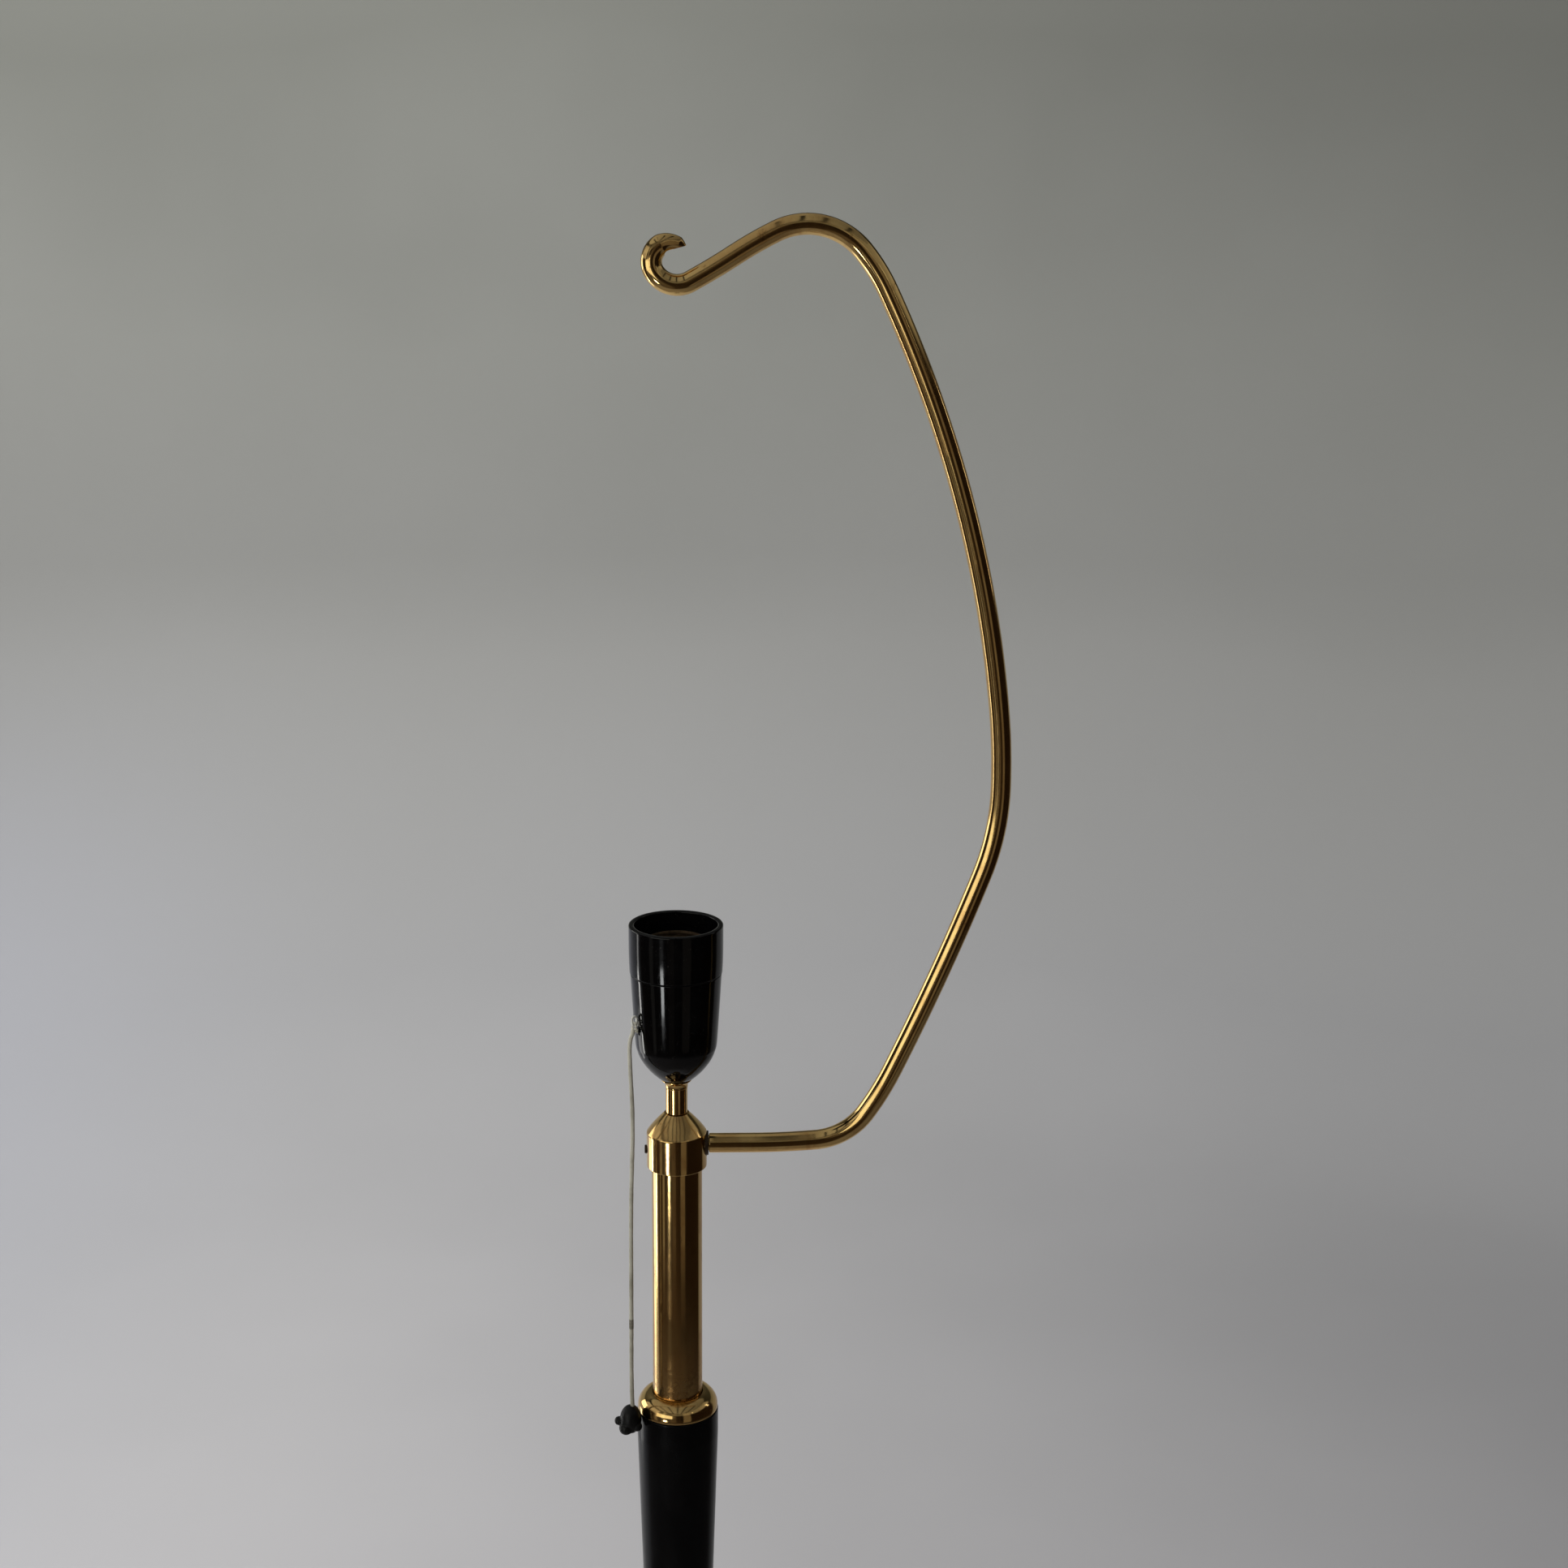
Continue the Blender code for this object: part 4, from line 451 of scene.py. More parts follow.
class Finish(Graph):
    """A material with its shader and the place of each of its points."""

    def __init__(self, name):
        self.material = bpy.data.materials.new(name)
        self.material.use_nodes = True
        super().__init__(self.material.node_tree)
        self.shader = self.tree.nodes["Principled BSDF"]
        self.place = self.node("ShaderNodeTexCoord", {}, {}, "Object")

    def way(self):
        """The way along a swept tube, and the two ways across it."""
        return self.split(self.node("ShaderNodeAttribute", {"attribute_name": "along"}, {}, "Vector"))

    def bump(self, height):
        """A relief whose height is in metres."""
        return self.node("ShaderNodeBump", {}, {"Height": height, "Distance": 1.0, "Strength": 1.0})

    def use(self, **sockets):
        """Sets the shader's sockets, each written with its words joined by underscores."""
        for key, term in sockets.items():
            join(self.tree, self.shader.inputs[key.replace("_", " ")], term)
        return self.material


def set_stops(ramp, stops):
    while len(ramp.elements) < len(stops):
        ramp.elements.new(1.0)
    for element, (position, tone) in zip(ramp.elements, stops):
        element.position = position
        element.color = (*tone, 1.0)


def times(tone, factor):
    """A colour that is lighter or darker than another by a factor."""
    return tuple(min(1.0, factor * part) for part in tone)


# Finishes


def brass(name, grain, stain_height=None):
    """Polished brass under old lacquer. Its grain is turned or drawn; stains gather over stain_height."""
    tones = sizes("lamp_colours")
    paint = Finish(name)
    x, y, z = paint.split(paint.place)
    if grain == "turned":
        radius = (x * x + y * y) ** 0.5
        lines = paint.noise(paint.vector(radius, z, 0.0), 5200.0, 3.0, 0.6)
    else:
        along, around, _ = paint.way()
        lines = paint.noise(paint.vector(along * 0.02, around, 0.0), 5200.0, 3.0, 0.6)
    smudges = paint.noise(paint.place, 55.0, 4.0, 0.55, 0.4)
    blotches = paint.noise(paint.stretch(paint.place, (1.0, 1.0, 0.35)), 150.0, 5.0, 0.62, 0.8)
    specks = paint.noise(paint.place, 900.0, 2.0, 0.5)
    film = paint.step(smudges, 0.38, 0.68) * 0.55 + paint.step(blotches, 0.50, 0.72) * 0.45
    spots = paint.step(blotches * 0.6 + specks * 0.4, 0.60, 0.68) * 0.55
    if stain_height is not None:
        film = (film + paint.step(z - stain_height, 0.160, 0.010) * 0.3).at_most(1.0)
        near = paint.step(z - stain_height, 0.030, 0.002)
        clouds = paint.step(paint.noise(paint.place, 240.0, 5.0, 0.65, 1.2), 0.42, 0.62)
        spots = (spots + near * clouds * 0.75).at_most(1.0)
    tint = paint.mix(film, tones.brass, tones.brass_deep)
    tint = paint.mix(spots * 0.8, tint, tones.tarnish)
    gloss = 0.085 + paint.step(smudges, 0.42, 0.66) * 0.05 + spots * 0.24 + lines * 0.03
    relief = lines * 0.00000022 + smudges * 0.000012 + spots * 0.000003
    return paint.use(Base_Color=tint, Metallic=1.0, Roughness=gloss, Normal=paint.bump(relief))


def aged_brass(name):
    """Brown, dull brass of the parts inside the lampholder."""
    tones = sizes("lamp_colours")
    paint = Finish(name)
    clouds = paint.noise(paint.place, 320.0, 4.0, 0.6, 0.5)
    grit = paint.noise(paint.place, 2400.0, 2.0, 0.6)
    dark = times(tones.brass_aged, 0.45)
    tint = paint.mix(paint.step(clouds, 0.38, 0.66) * 0.7 + grit * 0.2, tones.brass_aged, dark)
    return paint.use(Base_Color=tint, Metallic=0.85, Roughness=0.42 + clouds * 0.18,
                     Normal=paint.bump(clouds * 0.00001 + grit * 0.000003))


def satin_nickel(name):
    """Pale satin plating of the switch lever."""
    tones = sizes("lamp_colours")
    paint = Finish(name)
    dull = paint.noise(paint.place, 420.0, 4.0, 0.6, 0.4)
    pits = paint.step(paint.noise(paint.place, 2600.0, 2.0, 0.5), 0.60, 0.70)
    dark = times(tones.nickel, 0.55)
    tint = paint.mix(paint.step(dull, 0.44, 0.72) * 0.4 + pits * 0.3, tones.nickel, dark)
    return paint.use(Base_Color=tint, Metallic=0.35, Roughness=0.34 + dull * 0.12,
                     Normal=paint.bump(dull * 0.000006 - pits * 0.000004))


def satin_bakelite(name):
    """Black bakelite of the pull knob, dulled all over by hands."""
    tones = sizes("lamp_colours")
    paint = Finish(name)
    patches = paint.noise(paint.place, 260.0, 4.0, 0.6, 0.4)
    grain = paint.noise(paint.place, 1800.0, 3.0, 0.6)
    worn = paint.step(patches, 0.40, 0.68)
    tint = paint.mix(worn * 0.8 + grain * 0.2, tones.bakelite, tones.bakelite_worn)
    return paint.use(Base_Color=tint, Roughness=0.36 + worn * 0.12 + grain * 0.06, Specular_IOR_Level=0.25,
                     Normal=paint.bump(patches * 0.00003 + grain * 0.000006))


def bakelite(name):
    """Glossy black bakelite with fine scratches, dull patches and a little dust."""
    tones = sizes("lamp_colours")
    paint = Finish(name)
    patches = paint.noise(paint.place, 70.0, 4.0, 0.6, 0.5)
    dust = paint.step(paint.noise(paint.place, 2400.0, 1.0, 0.5), 0.70, 0.78)
    dust = dust * paint.step(paint.noise(paint.place, 190.0, 2.0, 0.5), 0.45, 0.62)
    warp = paint.noise(paint.place, 30.0, 2.0, 0.5)
    scratch_place = paint.stretch(paint.place, (1.0, 1.0, 0.06))
    scratches = paint.step(paint.noise(scratch_place, 1500.0, 2.0, 0.6, 0.3), 0.66, 0.74)
    cross_place = paint.stretch(paint.place, (0.08, 0.7, 1.0))
    scratches = scratches.at_least(paint.step(paint.noise(cross_place, 1100.0, 2.0, 0.6, 0.3), 0.69, 0.75))
    worn = paint.step(patches, 0.45, 0.72)
    tint = paint.mix((worn * 0.5 + scratches * 0.25).at_most(1.0), tones.bakelite, tones.bakelite_worn)
    tint = paint.mix(dust * 0.35, tint, tones.dust)
    gloss = 0.07 + worn * 0.06 + scratches * 0.12 + dust * 0.30
    relief = warp * 0.00006 + patches * 0.000012 - scratches * 0.0000012 + dust * 0.000004
    return paint.use(Base_Color=tint, Roughness=gloss, Specular_IOR_Level=0.23,
                     Normal=paint.bump(relief))


def lacquered_wood(name):
    """Satin black lacquer over turned wood, with a faint upright grain and rubbed patches."""
    tones = sizes("lamp_colours")
    paint = Finish(name)
    grain = paint.noise(paint.stretch(paint.place, (1.0, 1.0, 0.035)), 1300.0, 4.0, 0.62, 0.25)
    pore_place = paint.stretch(paint.place, (1.0, 1.0, 0.05))
    pores = paint.step(paint.noise(pore_place, 2600.0, 2.0, 0.5), 0.62, 0.72)
    rubbed = paint.noise(paint.stretch(paint.place, (1.0, 1.0, 0.4)), 60.0, 4.0, 0.6, 0.3)
    orange_peel = paint.noise(paint.place, 650.0, 2.0, 0.5)
    worn = paint.step(rubbed, 0.42, 0.70)
    tint = paint.mix((worn * 0.6 + pores * 0.2).at_most(1.0), tones.lacquer, tones.lacquer_worn)
    gloss = 0.16 + worn * 0.06 + grain * 0.04
    relief = grain * 0.000010 - pores * 0.000006 + orange_peel * 0.000004
    return paint.use(Base_Color=tint, Roughness=gloss, Specular_IOR_Level=0.11,
                     Normal=paint.bump(relief))


def plated_steel(name):
    """Zinc plating with a faint spangle and a brushed grain."""
    tones = sizes("lamp_colours")
    paint = Finish(name)
    spangle = paint.cells(paint.place, 900.0)
    dull = paint.noise(paint.place, 260.0, 4.0, 0.6, 0.4)
    brush = paint.noise(paint.stretch(paint.place, (1.0, 1.0, 0.1)), 3800.0, 2.0, 0.6)
    dark = times(tones.steel, 0.62)
    tint = paint.mix(paint.step(dull, 0.40, 0.70) * 0.6 + spangle * 0.2, tones.steel, dark)
    gloss = 0.22 + paint.step(dull, 0.42, 0.68) * 0.16 + brush * 0.06
    return paint.use(Base_Color=tint, Metallic=1.0, Roughness=gloss,
                     Normal=paint.bump(brush * 0.0000008 + dull * 0.000006))


def blackened_steel(name):
    """Oil-blackened steel, rubbed bare in places."""
    tones = sizes("lamp_colours")
    paint = Finish(name)
    rub = paint.noise(paint.place, 700.0, 4.0, 0.6)
    turned = paint.noise(paint.stretch(paint.place, (1.0, 0.2, 0.2)), 4200.0, 2.0, 0.6)
    bare = times(tones.blackened, 3.2)
    tint = paint.mix(paint.step(rub, 0.55, 0.75) * 0.5, tones.blackened, bare)
    return paint.use(Base_Color=tint, Metallic=1.0, Roughness=0.30 + rub * 0.18,
                     Normal=paint.bump(turned * 0.0000009 + rub * 0.000004))


def cast_iron(name):
    """Sandy cast iron with some rust."""
    tones = sizes("lamp_colours")
    paint = Finish(name)
    sand = paint.noise(paint.place, 1500.0, 4.0, 0.7)
    lumps = paint.noise(paint.place, 160.0, 3.0, 0.6)
    rust = paint.step(paint.noise(paint.place, 90.0, 5.0, 0.65, 0.6), 0.56, 0.72)
    tint = paint.mix(rust * 0.6, tones.iron, tones.rust)
    return paint.use(Base_Color=tint, Metallic=0.75, Roughness=0.62 + sand * 0.2,
                     Normal=paint.bump(sand * 0.00009 + lumps * 0.00025))


def porcelain(name):
    """Glazed porcelain with a few brown specks."""
    tones = sizes("lamp_colours")
    paint = Finish(name)
    clouds = paint.noise(paint.place, 120.0, 3.0, 0.6)
    specks = paint.step(paint.noise(paint.place, 1700.0, 1.0, 0.5), 0.72, 0.78)
    tint = paint.mix(clouds * 0.5, tones.porcelain, times(tones.porcelain, 0.86))
    tint = paint.mix(specks * 0.6, tint, tones.specks)
    return paint.use(Base_Color=tint, Roughness=0.16 + clouds * 0.12,
                     Normal=paint.bump(clouds * 0.00004), Coat_Weight=0.4)


def felt(name):
    """Matted wool felt."""
    tones = sizes("lamp_colours")
    paint = Finish(name)
    fibres = paint.noise(paint.place, 2600.0, 4.0, 0.7, 2.4)
    clumps = paint.noise(paint.place, 420.0, 3.0, 0.6, 0.8)
    tint = paint.mix(fibres * 0.55 + clumps * 0.3, tones.felt, times(tones.felt, 1.9))
    return paint.use(Base_Color=tint, Roughness=0.96, Sheen_Weight=0.35,
                     Normal=paint.bump(fibres * 0.00012 + clumps * 0.0001))


def braided_cotton(name):
    """Cotton of the braid, with soiled stretches, thick spots and stray fibres."""
    tones = sizes("lamp_colours")
    paint = Finish(name)
    along, around, _ = paint.way()
    fibres = paint.noise(paint.place, 5200.0, 3.0, 0.7, 1.2)
    soil = paint.noise(paint.vector(along, 0.0, 0.0), 42.0, 4.0, 0.6)
    slubs = paint.noise(paint.place, 1100.0, 2.0, 0.5)
    strands = paint.noise(paint.vector(along * 0.25, around, 0.0), 3400.0, 2.0, 0.6)
    _, _, z = paint.split(paint.place)
    handled = paint.step(z, 1.10, 0.96) * 0.35
    dirt = (paint.step(soil, 0.38, 0.70) * 0.65 + fibres * 0.25 + slubs * 0.15 + handled).at_most(1.0)
    tint = paint.mix(dirt, tones.cord, tones.cord_soiled)
    return paint.use(Base_Color=tint, Roughness=0.90, Sheen_Weight=0.3,
                     Normal=paint.bump(fibres * 0.00005 + strands * 0.00005))


def wrapping_thread(name):
    """Waxed thread, darker than the cord that it is wound over."""
    tones = sizes("lamp_colours")
    paint = Finish(name)
    fibres = paint.noise(paint.place, 5200.0, 3.0, 0.7, 1.2)
    dirt = paint.noise(paint.place, 700.0, 3.0, 0.6)
    dark = times(tones.thread, 0.5)
    tint = paint.mix(paint.step(dirt, 0.35, 0.65) * 0.6 + fibres * 0.3, tones.thread, dark)
    return paint.use(Base_Color=tint, Roughness=0.62 + fibres * 0.2, Normal=paint.bump(fibres * 0.00004))


FINISH_MAKERS = {
    "turned_brass": (brass, "turned"),
    "stained_brass": (brass, "turned", highest("stem_ring")),
    "drawn_brass": (brass, "drawn"),
    "aged_brass": (aged_brass,),
    "satin_nickel": (satin_nickel,),
    "black_bakelite": (bakelite,),
    "satin_bakelite": (satin_bakelite,),
    "black_lacquered_wood": (lacquered_wood,),
    "zinc_steel": (plated_steel,),
    "blackened_steel": (blackened_steel,),
    "cast_iron": (cast_iron,),
    "porcelain": (porcelain,),
    "green_felt": (felt,),
    "braided_cord": (braided_cotton,),
    "wrapping_thread": (wrapping_thread,),
}
FINISHES = {}

def finish(name):
    """Each finish is made once, when the first piece asks for it."""
    if name not in FINISHES:
        maker, *details = FINISH_MAKERS[name]
        FINISHES[name] = maker(name, *details)
    return FINISHES[name]


def repaint(item, finish_name):
    """Gives a piece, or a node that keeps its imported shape, its finish."""
    item.data.materials.clear()
    item.data.materials.append(finish(finish_name))


def repaint_nodes(finish_name, *nodes):
    for node in nodes:
        repaint(frame["nodes"][node], finish_name)


def dress(piece, node, finish_name):
    """Gives a piece its finish, and lets it ride with the node that it stands for."""
    repaint(piece, finish_name)
    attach(piece, BODY_OF[node])
    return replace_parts(piece, node)


# Shapes

SMOOTH_ANGLE = math.radians(32)
ROUND_STEPS = 4
LONGEST_ROUND = 0.45  # share of a side that a rounding may take
OVERRUN = 0.001  # how far a cutting tool passes a surface


def make_mesh(name, points, faces):
    mesh = bpy.data.meshes.new(name)
    mesh.from_pydata([tuple(point) for point in points], [], faces)
    mesh.update()
    item = bpy.data.objects.new(name, mesh)
    bpy.context.scene.collection.objects.link(item)
    turn_faces_out(item)
    return item


def turn_faces_out(item):
    bm = bmesh.new()
    bm.from_mesh(item.data)
    bmesh.ops.recalc_face_normals(bm, faces=bm.faces)
    bm.to_mesh(item.data)
    bm.free()


def smooth(item):
    item.data.shade_smooth()
    item.data.set_sharp_from_angle(angle=SMOOTH_ANGLE)
    normals = item.modifiers.new("even normals", "WEIGHTED_NORMAL")
    normals.keep_sharp = True
    return item


def applied(item):
    """The mesh with its modifiers worked in."""
    bpy.context.view_layer.update()
    graph = bpy.context.evaluated_depsgraph_get()
    mesh = bpy.data.meshes.new_from_object(item.evaluated_get(graph))
    item.modifiers.clear()
    item.data = mesh
    return item


def combine(target, tool, operation):
    modifier = target.modifiers.new("combine", "BOOLEAN")
    modifier.solver = "EXACT"
    modifier.operation = operation
    modifier.object = tool
    applied(target)
    bpy.data.objects.remove(tool, do_unlink=True)
    return target


def cut(target, tool):
    return combine(target, tool, "DIFFERENCE")


def arc(centre, radii, start, end, steps):
    """Points round a centre, from one angle to another in degrees."""
    points = []
    for number in range(steps + 1):
        turn = math.radians(start + (end - start) * number / steps)
        points.append((centre[0] + radii[0] * math.cos(turn), centre[1] + radii[1] * math.sin(turn)))
    return points


def curve_through(points, steps):
    """Points on a smooth curve through the given ones."""
    given = [Vector(point) for point in points]
    ends = [given[0] * 2 - given[1]] + given + [given[-1] * 2 - given[-2]]
    route = []
    for index in range(1, len(ends) - 2):
        p0, p1, p2, p3 = ends[index - 1:index + 3]
        for number in range(steps):
            t = number / steps
            route.append(0.5 * (2 * p1 + (p2 - p0) * t + (2 * p0 - 5 * p1 + 4 * p2 - p3) * t ** 2
                                + (3 * p1 - p0 - 3 * p2 + p3) * t ** 3))
    route.append(given[-1])
    return route


def rounded(outline):
    """A closed outline whose (radius, height, round) corners are turned into arcs."""
    points = []
    for index, corner in enumerate(outline):
        spot = Vector(corner[:2])
        if len(corner) == 2 or corner[2] == 0:
            points.append(tuple(spot))
            continue
        before = Vector(outline[index - 1][:2]) - spot
        after = Vector(outline[(index + 1) % len(outline)][:2]) - spot
        half = before.angle(after) / 2
        longest = LONGEST_ROUND * min(before.length, after.length)
        reach = min(corner[2] / math.tan(half), longest)
        start = spot + before.normalized() * reach
        end = spot + after.normalized() * reach
        for number in range(ROUND_STEPS + 1):
            t = number / ROUND_STEPS
            points.append(tuple(start * (1 - t) ** 2 + spot * 2 * t * (1 - t) + end * t ** 2))
    return points


def lathe(name, outline, facets):
    """Turns a closed outline of (radius, height) points about +Z."""
    points = []
    rings = []
    for radius, height in rounded(outline):
        if radius == 0:
            rings.append([len(points)])
            points.append((0.0, 0.0, height))
            continue
        ring = []
        for step in range(facets):
            turn = math.tau * step / facets
            ring.append(len(points))
            points.append((radius * math.cos(turn), radius * math.sin(turn), height))
        rings.append(ring)
    faces = []
    for ring, after in zip(rings, rings[1:] + rings[:1]):
        if len(ring) == 1 and len(after) == 1:
            continue
        for step in range(facets):
            following = (step + 1) % facets
            corners = [ring[step % len(ring)], ring[following % len(ring)], after[following % len(after)],
                       after[step % len(after)]]
            faces.append(list(dict.fromkeys(corners)))
    return make_mesh(name, points, faces)


def rectangle(left, right, half):
    """An outline from left to right, half its width on each side of the middle."""
    return [(left, -half), (right, -half), (right, half), (left, half)]


def prism(name, outline, low, high):
    """Raises a closed outline of (x, y) points from low to high along +Z."""
    total = len(outline)
    points = [(x, y, low) for x, y in outline] + [(x, y, high) for x, y in outline]
    faces = [list(range(total)), list(range(total, 2 * total))]
    for index in range(total):
        after = (index + 1) % total
        faces.append([index, after, total + after, total + index])
    return make_mesh(name, points, faces)


def move(item, change):
    """Moves every point of a piece to change(point)."""
    for vert in item.data.vertices:
        vert.co = Vector(change(vert.co))
    item.data.update()
    turn_faces_out(item)
    return item


def to_side(item, height):
    """Lays a piece that is built along +Z down along +Y, at a height."""
    return move(item, lambda co: (co.x, co.z, height - co.y))


def to_out(item, height):
    """Lays a piece that is built along +Z down along +X, at a height."""
    return move(item, lambda co: (co.z, co.y, height - co.x))


def rod(name, radius, low, high, facets):
    return lathe(name, [(0.0, low), (radius, low), (radius, high), (0.0, high)], facets)


def sweep(name, stations, facets, closed=False, radius_at=None):
    """A tube along stations of (centre, radius). The attribute along holds each point's way and side.

    radius_at(way, turn, radius) can shape the radius over the tube's surface.
    """
    centres = [Vector(centre) for centre, _ in stations]
    total = len(centres)
    points = []
    ways = []
    way = 0.0
    side = None
    for index, (centre, radius) in enumerate(stations):
        before = centres[index - 1] if index or closed else centres[index]
        after = centres[(index + 1) % total] if index + 1 < total or closed else centres[index]
        heading = (after - before).normalized()
        if side is None:
            side = heading.orthogonal().normalized()
        side = (side - heading * side.dot(heading)).normalized()
        up = heading.cross(side)
        if index:
            way += (centres[index] - centres[index - 1]).length
        for step in range(facets):
            turn = math.tau * (step + 0.5) / facets
            reach = radius if radius_at is None else radius_at(way, turn, radius)
            points.append(Vector(centre) + (side * math.cos(turn) + up * math.sin(turn)) * reach)
            ways.append((way, radius * math.cos(turn), radius * math.sin(turn)))
    faces = []
    for index in range(total if closed else total - 1):
        after = (index + 1) % total
        for step in range(facets):
            following = (step + 1) % facets
            faces.append([index * facets + step, index * facets + following, after * facets + following,
                          after * facets + step])
    if not closed:
        faces.append(list(range(facets)))
        faces.append(list(range((total - 1) * facets, total * facets)))
    item = make_mesh(name, points, faces)
    attribute = item.data.attributes.new("along", "FLOAT_VECTOR", "POINT")
    for target, value in zip(attribute.data, ways):
        target.vector = value
    return item


# Base


def make_cover():
    size = sizes("lamp_base_sizes")
    low, top = lowest("base_cover"), highest("base_cover")
    out = size.radius - size.shoulder
    shoulder_top = size.skirt + size.shoulder
    rings = 24

    def crown(radius):
        way = max(0.0, (radius - size.crown) / (out - size.crown))
        return top - (top - shoulder_top) * way ** 2

    radii = [size.crown + (out - size.crown) * (1 - number / rings) for number in range(rings + 1)]
    inner_round = size.shoulder - size.wall
    outline = [(size.radius, low, size.hem)]
    outline += arc((out, size.skirt), (size.shoulder, size.shoulder), 0, 90, 12)
    outline += [(radius, crown(radius)) for radius in radii[1:]]
    outline += [(size.rod_hole, top), (size.rod_hole, top - size.wall)]
    outline += [(radius, crown(radius) - size.wall) for radius in reversed(radii[1:])]
    outline += reversed(arc((out, size.skirt), (inner_round, inner_round), 0, 90, 8))
    outline += [(size.radius - size.wall, low, size.hem)]
    cover = lathe("finished_base_cover", outline, size.facets)
    hole = rod("inlet_hole", size.inlet_hole, out, size.radius + size.shoulder, 48)
    cut(cover, to_side(hole, size.inlet_height))
    dress(smooth(cover), "base_cover", "turned_brass")


def make_felt():
    size = sizes("lamp_base_sizes")
    low, high, radius = span("base_felt")
    outline = [(0.0, low), (radius, low, size.felt_edge), (radius, high, size.felt_edge), (0.0, high)]
    disc = lathe("finished_base_felt", outline, size.facets)
    dress(smooth(disc), "base_felt", "green_felt")


def make_inlet_bush():
    size = sizes("lamp_base_sizes")
    low, high = BOXES["inlet_bush"]
    radius = (high.x - low.x) / 2
    gap, shank, bore = 0.0003, 0.0052, 0.0034
    inner_edge, back_edge, front_edge = 0.0004, 0.0003, 0.0009
    face = size.radius + gap
    outline = [(bore, low.y, inner_edge), (shank, low.y, inner_edge), (shank, face),
               (radius, face, back_edge), (radius, high.y, front_edge), (bore, high.y, front_edge)]
    bush = lathe("finished_inlet_bush", outline, 64)
    dress(smooth(to_side(bush, size.inlet_height)), "inlet_bush", "black_bakelite")


class FLOORLAMP_OT_base(bpy.types.Operator):
    """Make the spun cover, the felt and the cord inlet of the base"""

    bl_idname = "floor_lamp.make_base"
    bl_label = "Base"

    def execute(self, context):
        make_cover()
        make_felt()
        make_inlet_bush()
        repaint_nodes("cast_iron", "base_weight")
        repaint_nodes("zinc_steel", "base_washer", "base_nut")
        return {"FINISHED"}


# Column


def make_foot():
    size = sizes("lamp_column_sizes")
    bore = sizes("lamp_base_sizes").rod_hole
    low, high, radius = span("base_foot")
    sweep_radii = (radius - size.foot_neck, (high - low) / 2 - size.foot_flange)
    cove = arc((radius, low + (high - low) / 2), sweep_radii, 262, 180, 14)
    outline = [(bore, low), (radius, low, size.edge), (radius, low + size.foot_flange, size.edge * 2)]
    outline += cove
    outline += [(size.foot_neck, high, size.edge), (size.socket, high, size.edge),
                (size.socket, high - size.socket_depth), (bore, high - size.socket_depth)]
    dress(smooth(lathe("finished_base_foot", outline, size.facets)), "base_foot", "turned_brass")


def make_tube(node, finish_name):
    size = sizes("lamp_column_sizes")
    low, high, radius = span(node)
    bore = radius - size.tube_wall
    outline = [(radius, low, size.edge), (radius, high, size.edge), (bore, high), (bore, low)]
    dress(smooth(lathe("finished_" + node, outline, size.facets)), node, finish_name)


def make_ferrule():
    size = sizes("lamp_column_sizes")
    bore = sizes("lamp_base_sizes").rod_hole
    low, high, radius = span("stem_ferrule")
    waist = low + (high - low) / 2
    socket_end = low + size.socket_depth
    band_edge = 0.0010
    outline = [(size.socket, low, size.edge), (size.ferrule_foot, low, size.edge * 2),
               (size.ferrule_foot, waist), (radius, high - size.ferrule_bead, band_edge),
               (radius, high, size.edge * 2), (bore, high), (bore, socket_end), (size.socket, socket_end)]
    dress(smooth(lathe("finished_stem_ferrule", outline, size.facets)), "stem_ferrule", "turned_brass")


def make_stem():
    size = sizes("lamp_column_sizes")
    bore = sizes("lamp_base_sizes").rod_hole
    low, high, radius = span("black_stem")
    taper_top = high - size.stem_straight
    foot_edge, taper_round, rings = 0.0005, 0.0060, 24
    outline = [(bore, low), (size.stem_foot, low, foot_edge)]
    for number in range(1, rings):
        way = number / rings
        outline.append((size.stem_foot + (radius - size.stem_foot) * way, low + (taper_top - low) * way))
    outline += [(radius, taper_top, taper_round), (radius, high, size.stem_edge), (bore, high)]
    dress(smooth(lathe("finished_black_stem", outline, size.facets)), "black_stem", "black_lacquered_wood")


def make_ring():
    size = sizes("lamp_column_sizes")
    low, high, radius = span("stem_ring")
    land = low + size.ring_land
    quarter = arc((size.ring_bore, land), (radius - size.ring_bore, high - land), 0, 86, 20)
    outline = [(size.ring_bore, low), (radius, low, size.edge)] + quarter
    outline += [(size.ring_bore, high, size.edge / 2)]
    dress(smooth(lathe("finished_stem_ring", outline, size.facets)), "stem_ring", "turned_brass")


class FLOORLAMP_OT_column(bpy.types.Operator):
    """Make the foot, the tubes, the ferrule, the black stem and its ring"""

    bl_idname = "floor_lamp.make_column"
    bl_label = "Column"

    def execute(self, context):
        make_foot()
        make_tube("lower_tube", "turned_brass")
        make_ferrule()
        make_stem()
        make_ring()
        make_tube("upper_tube", "stained_brass")
        repaint_nodes("turned_brass", "tube_bush", "head_spigot")
        repaint_nodes("zinc_steel", "tie_rod", "tie_rod_nut")
        return {"FINISHED"}


# Head

# The collar's cone, from its top face down: shares of its way out and of its height

CONE_SHARES = ((0.00, 0.00), (0.345, 0.30), (0.68, 0.62), (0.905, 0.87), (0.985, 0.975), (1.00, 1.05))


